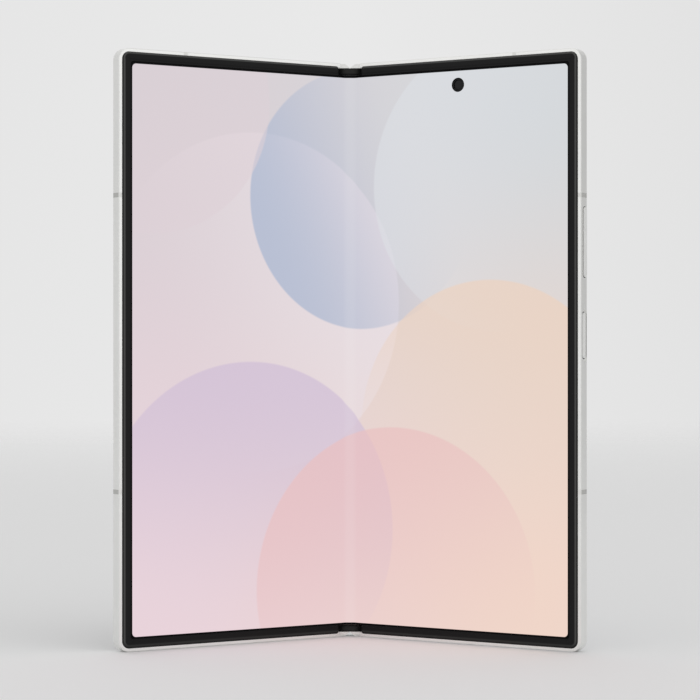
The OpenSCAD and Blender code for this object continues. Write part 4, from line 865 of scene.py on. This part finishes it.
# Sapphire, ground flat and polished, with a faint blue coating.
sapphire, shader = new_finish("coated_sapphire", base_color=linear("E8EEF6"), roughness=0.0,
                              ior=1.6, transmission_weight=1.0)
window_foot, window_top = window_low.y / MM, window_high.y / MM
window_profile = ((0, window_foot), (window_radius, window_foot),
                  (window_radius, window_top - 0.05), (window_radius - 0.05, window_top),
                  (0, window_top))
windows = joined("sapphire_windows",
                 [lathe("window", window_profile, x, z) for x, z in island_places])
lay_on_leaf(windows, RIGHT)
seat(windows, "right_leaf", "lens_glass", sapphire, "lens_windows")

# Flash
# A round lens of clear plastic with ring grooves over a yellow lamp, set flush with the rear glass.
FLASH_RIM = 0.2
GROOVE_W = 0.2
GROOVE_H = 0.07
GROOVE_SLOPE = 0.02
flash_low, flash_high = flat_box("flash_window")
flash_radius = (flash_high.x - flash_low.x) / 2 / MM
flash_foot, flash_top = flash_low.y / MM, flash_high.y / MM
# Clear acrylic over the lamp's phosphor: a glossy pale yellow.
flash_lens, shader = new_finish("moulded_flash_lens", roughness=0.12, ior=1.49,
                                coat_weight=0.5, coat_roughness=0.05)
tint(flash_lens, shader, "F3EBD0", "E6DAB4", 0.8)
grooves = [(flash_radius, flash_foot), (flash_radius, flash_top)]
for step in range(int((flash_radius - FLASH_RIM) / GROOVE_W)):
    edge = flash_radius - FLASH_RIM - step * GROOVE_W
    grooves += [(edge, flash_top), (edge - GROOVE_SLOPE, flash_top - GROOVE_H)]
grooves += [(0, flash_top - GROOVE_SLOPE), (0, flash_foot)]
flash = lathe("flash_lens", grooves, (flash_low.x + flash_high.x) / 2,
              (flash_low.z + flash_high.z) / 2)
lay_on_leaf(flash, RIGHT)
seat(flash, "right_leaf", "flash_lens", flash_lens, "flash_window")

# Keys
# The volume rocker and the power key are milled from aluminium, with rounded edges, and anodised,
# their finish painted paler than the wall's. They stand in slots over dome switches.

# A paler, half-metallic copy of the frame's finish: painted light that makes the keys' faces
# lighter.
key_metal, shader = new_finish("key_aluminium_painted_paler", metallic=0.45)
tint(key_metal, shader, "F8F8F6", "F0F0EE", 3)
grain(key_metal, shader, 0.1, 0.002, 0.26, 0.34)
# A black ring is set a little below the surface, in the gap round each key, as painted shade, and
# the keys are made a little slimmer than the slots so that it shows as a thin dark line.
KEY_IN = 0.12 * MM
GAP_SHADE_OUT = 0.075 * MM
GAP_SHADE_W = 0.185 * MM
GAP_SHADE_T = 0.3 * MM
# A dull, even black for the painted shade in the gaps round the keys.
gap_shade_black, shader = new_finish("black_gap_shade", ior=1.42, roughness=0.6)
tint(gap_shade_black, shader, "1B1B1B", "131313", 0.5)


def key_face(node):
    """Lowest and highest corner of a key's outer face, on the flat leaf."""
    points = [flat_from_world[RIGHT] @ v.co for v in frame["nodes"][node].data.vertices]
    front = max(p.x for p in points)
    face = np.array([p for p in points if p.x > front - 0.1 * MM])
    return Vector(face.min(0)), Vector(face.max(0))


def key_gap_shade(node, name, depth):
    """A thin dark ring with round ends in the gap between a key and its slot, as painted shade."""
    low, high = key_face(node)
    wall = flat_box("right_frame")[1].x
    middle = Vector((wall - depth - GAP_SHADE_T / 2, (low.y + high.y) / 2, (low.z + high.z) / 2))
    size = Vector((GAP_SHADE_T, high.y - low.y + 2 * GAP_SHADE_OUT, high.z - low.z + 2 * GAP_SHADE_OUT))
    bpy.ops.object.select_all(action="DESELECT")
    bpy.ops.mesh.primitive_cube_add(size=1)
    shade_ring = bpy.context.object
    shade_ring.name = shade_ring.data.name = name
    shade_ring.data.transform(Matrix.Translation(middle) @ Matrix.Diagonal((*size, 1)))
    select_edges(shade_ring, lambda start, end: abs(start.x - end.x) > GAP_SHADE_T / 2)
    bpy.ops.mesh.bevel(offset=0.98 * size.y / 2, segments=12, affect="EDGES")
    bpy.ops.object.mode_set(mode="OBJECT")
    select_faces(shade_ring, lambda centre: abs(centre.x - middle.x) > 0.4 * GAP_SHADE_T)
    bpy.ops.mesh.inset(thickness=GAP_SHADE_W, depth=0)
    bpy.ops.mesh.bridge_edge_loops()
    bpy.ops.mesh.select_all(action="SELECT")
    bpy.ops.mesh.normals_make_consistent(inside=False)
    bpy.ops.object.mode_set(mode="OBJECT")
    bpy.ops.object.shade_smooth_by_angle(angle=SMOOTH_ANGLE)
    lay_on_leaf(shade_ring, RIGHT)
    seat(shade_ring, "right_leaf", "dark_plastic", gap_shade_black)


for node, word, radius_mm, shade_depth in (("volume_rocker", "rocker_key", 0.45, 0.05 * MM),
                                          ("power_key", "power_button", 0.18, 0.28 * MM)):
    key = flat_copy(node, word, RIGHT)
    low, high = key_face(node)
    centre, size = (low + high) / 2, high - low
    slimmer = Matrix.Diagonal((1, 1 - 2 * KEY_IN / size.y, 1 - 2 * KEY_IN / size.z, 1))
    key.data.transform(Matrix.Translation(centre) @ slimmer @ Matrix.Translation(-centre))
    lay_on_leaf(key, RIGHT)
    round_sharp_edges(key, radius_mm, 5)
    seat(key, node, "key_metal", key_metal, node)
    key_gap_shade(node, word + "_seal", shade_depth)
# The card tray in the left leaf's top wall takes the keys' painted paler finish.
dress(key_metal, "card_tray")

# Charging port
# A drawn steel shell in the lower wall of the right leaf. Its plastic tongue has a row of gilt
# contact strips on each face, half a millimetre apart.
CONTACTS = 12
CONTACT_PITCH = 0.5 * MM
CONTACT_SIZE = Vector((0.27, 0.03, 2.6)) * MM
CONTACT_INSET = 1.1 * MM
CONTACT_SHOWN = 0.3
CONTACT_EDGE_MM = 0.01
TONGUE_T = 0.7 * MM
# Drawn stainless steel: bright, with the soft streaks of the die.
port_steel, shader = new_finish("drawn_stainless_steel", metallic=1.0)
tint(port_steel, shader, "B4B7BA", "9DA0A4", 1)
grain(port_steel, shader, 0.08, 0.003, 0.2, 0.32)
dress(port_steel, "charging_port")
# Hard gold on copper: a warm, even yellow.
gilt, shader = new_finish("gold_plated_copper", metallic=1.0, roughness=0.25)
tint(gilt, shader, "E9C878", "D8B160", 0.5)
port_low, port_high = flat_box("charging_port")
port_middle = (port_low + port_high) / 2
strips = []
for face in (-1, 1):
    for number in range(CONTACTS):
        bpy.ops.object.select_all(action="DESELECT")
        bpy.ops.mesh.primitive_cube_add(size=1)
        strip = bpy.context.object
        at = Vector((port_middle.x + (number - (CONTACTS - 1) / 2) * CONTACT_PITCH,
                     port_middle.y + face * (TONGUE_T / 2 + CONTACT_SHOWN * CONTACT_SIZE.y),
                     port_low.z + CONTACT_INSET + CONTACT_SIZE.z / 2))
        strip.data.transform(Matrix.Translation(at) @ Matrix.Diagonal((*CONTACT_SIZE, 1)))
        strips.append(strip)
contacts = joined("port_contacts", strips)
round_sharp_edges(contacts, CONTACT_EDGE_MM, 1)
lay_on_leaf(contacts, RIGHT)
seat(contacts, "right_leaf", "port_steel", gilt)

# Floor
# A pale matt floor that fades into the surround, so that no horizon shows behind the phone.
FLOOR_HALF = 3.0
FADE_START, FADE_END = 0.2, 2.2
FLOOR_GAP = 0.02 * MM
bpy.ops.object.select_all(action="DESELECT")
bpy.ops.mesh.primitive_grid_add(x_subdivisions=8, y_subdivisions=8, size=2 * FLOOR_HALF,
                                location=(0, 0, -FLOOR_GAP))
floor = bpy.context.object
floor.name = "floor"
# Matt paint: an even, pale grey white that takes a soft shadow.
floor_paint, shader = new_finish("matt_floor_paint", base_color=linear("F4F4F4"), roughness=0.9,
                                 specular_ior_level=0.1)
place = add(floor_paint, "ShaderNodeTexCoord")
away = add(floor_paint, "ShaderNodeVectorMath", {0: (place, "Object")}, operation="LENGTH")
fade = add(floor_paint, "ShaderNodeMapRange",
           {"Value": (away, "Value"), "From Min": FADE_START, "From Max": FADE_END, "To Min": 1.0,
            "To Max": 0.0}, interpolation_type="SMOOTHSTEP")
floor_paint.node_tree.links.new(fade.outputs[0], shader.inputs["Alpha"])
floor.data.materials.append(floor_paint)

# Lights
# Plain soft studio light: large soft boxes and a pale surround, which is a little darker at the
# sides and most so on the right.
world = bpy.data.worlds.new("studio")
bpy.context.scene.world = world
world.use_nodes = True
surround = world.node_tree.nodes["Background"]
bearing = add(world, "ShaderNodeTexCoord")
split = add(world, "ShaderNodeSeparateXYZ", {"Vector": (bearing, "Generated")})
share = add(world, "ShaderNodeMapRange",
            {"Value": (split, "X"), "From Min": -1.0, "From Max": 1.0})
sweep = add(world, "ShaderNodeValToRGB", {"Fac": share})
for stop, at, level in ((0, 0.08, "D7D7D7"), (1, 0.92, "C2C2C2")):
    sweep.color_ramp.elements[stop].position = at
    sweep.color_ramp.elements[stop].color = linear(level)
sweep.color_ramp.elements.new(0.5).color = linear("E9E9E9")
world.node_tree.links.new(sweep.outputs["Color"], surround.inputs["Color"])


def soft_box(name, location, target, size, power):
    """A square lamp that faces a point."""
    bpy.ops.object.light_add(type="AREA", location=location)
    lamp = bpy.context.object
    lamp.name = name
    lamp.data.size = size
    lamp.data.energy = power
    lamp.rotation_euler = (Vector(target) - Vector(location)).to_track_quat("-Z", "Y").to_euler()


MIDDLE = Vector((0, 0, 0.08))
soft_box("left_soft_box", (-1.1, -0.75, 0.4), MIDDLE, 1.0, 0.9)
soft_box("right_soft_box", (1.1, -0.75, 0.4), MIDDLE, 1.0, 1.5)
soft_box("top_soft_box", (0, 0.1, 1.4), MIDDLE, 1.2, 0.7)

# Camera
# Level, in front of the hinge. Its place and lens were fitted to the photograph's outlines.
CAMERA_HEIGHT = 79.2 * MM
CAMERA_Y = -661.9 * MM
FOCAL_PX = 2452
PICTURE_PX = 700
camera_data = bpy.data.cameras.new("camera")
camera_data.sensor_width = 36
camera_data.lens = camera_data.sensor_width * FOCAL_PX / PICTURE_PX
camera_data.clip_start = 0.01
camera = bpy.data.objects.new("camera", camera_data)
camera.location = (0, CAMERA_Y, CAMERA_HEIGHT)
camera.rotation_euler = (math.radians(90), 0, 0)
bpy.context.scene.collection.objects.link(camera)
bpy.context.scene.camera = camera
bpy.context.scene.view_settings.view_transform = "Standard"
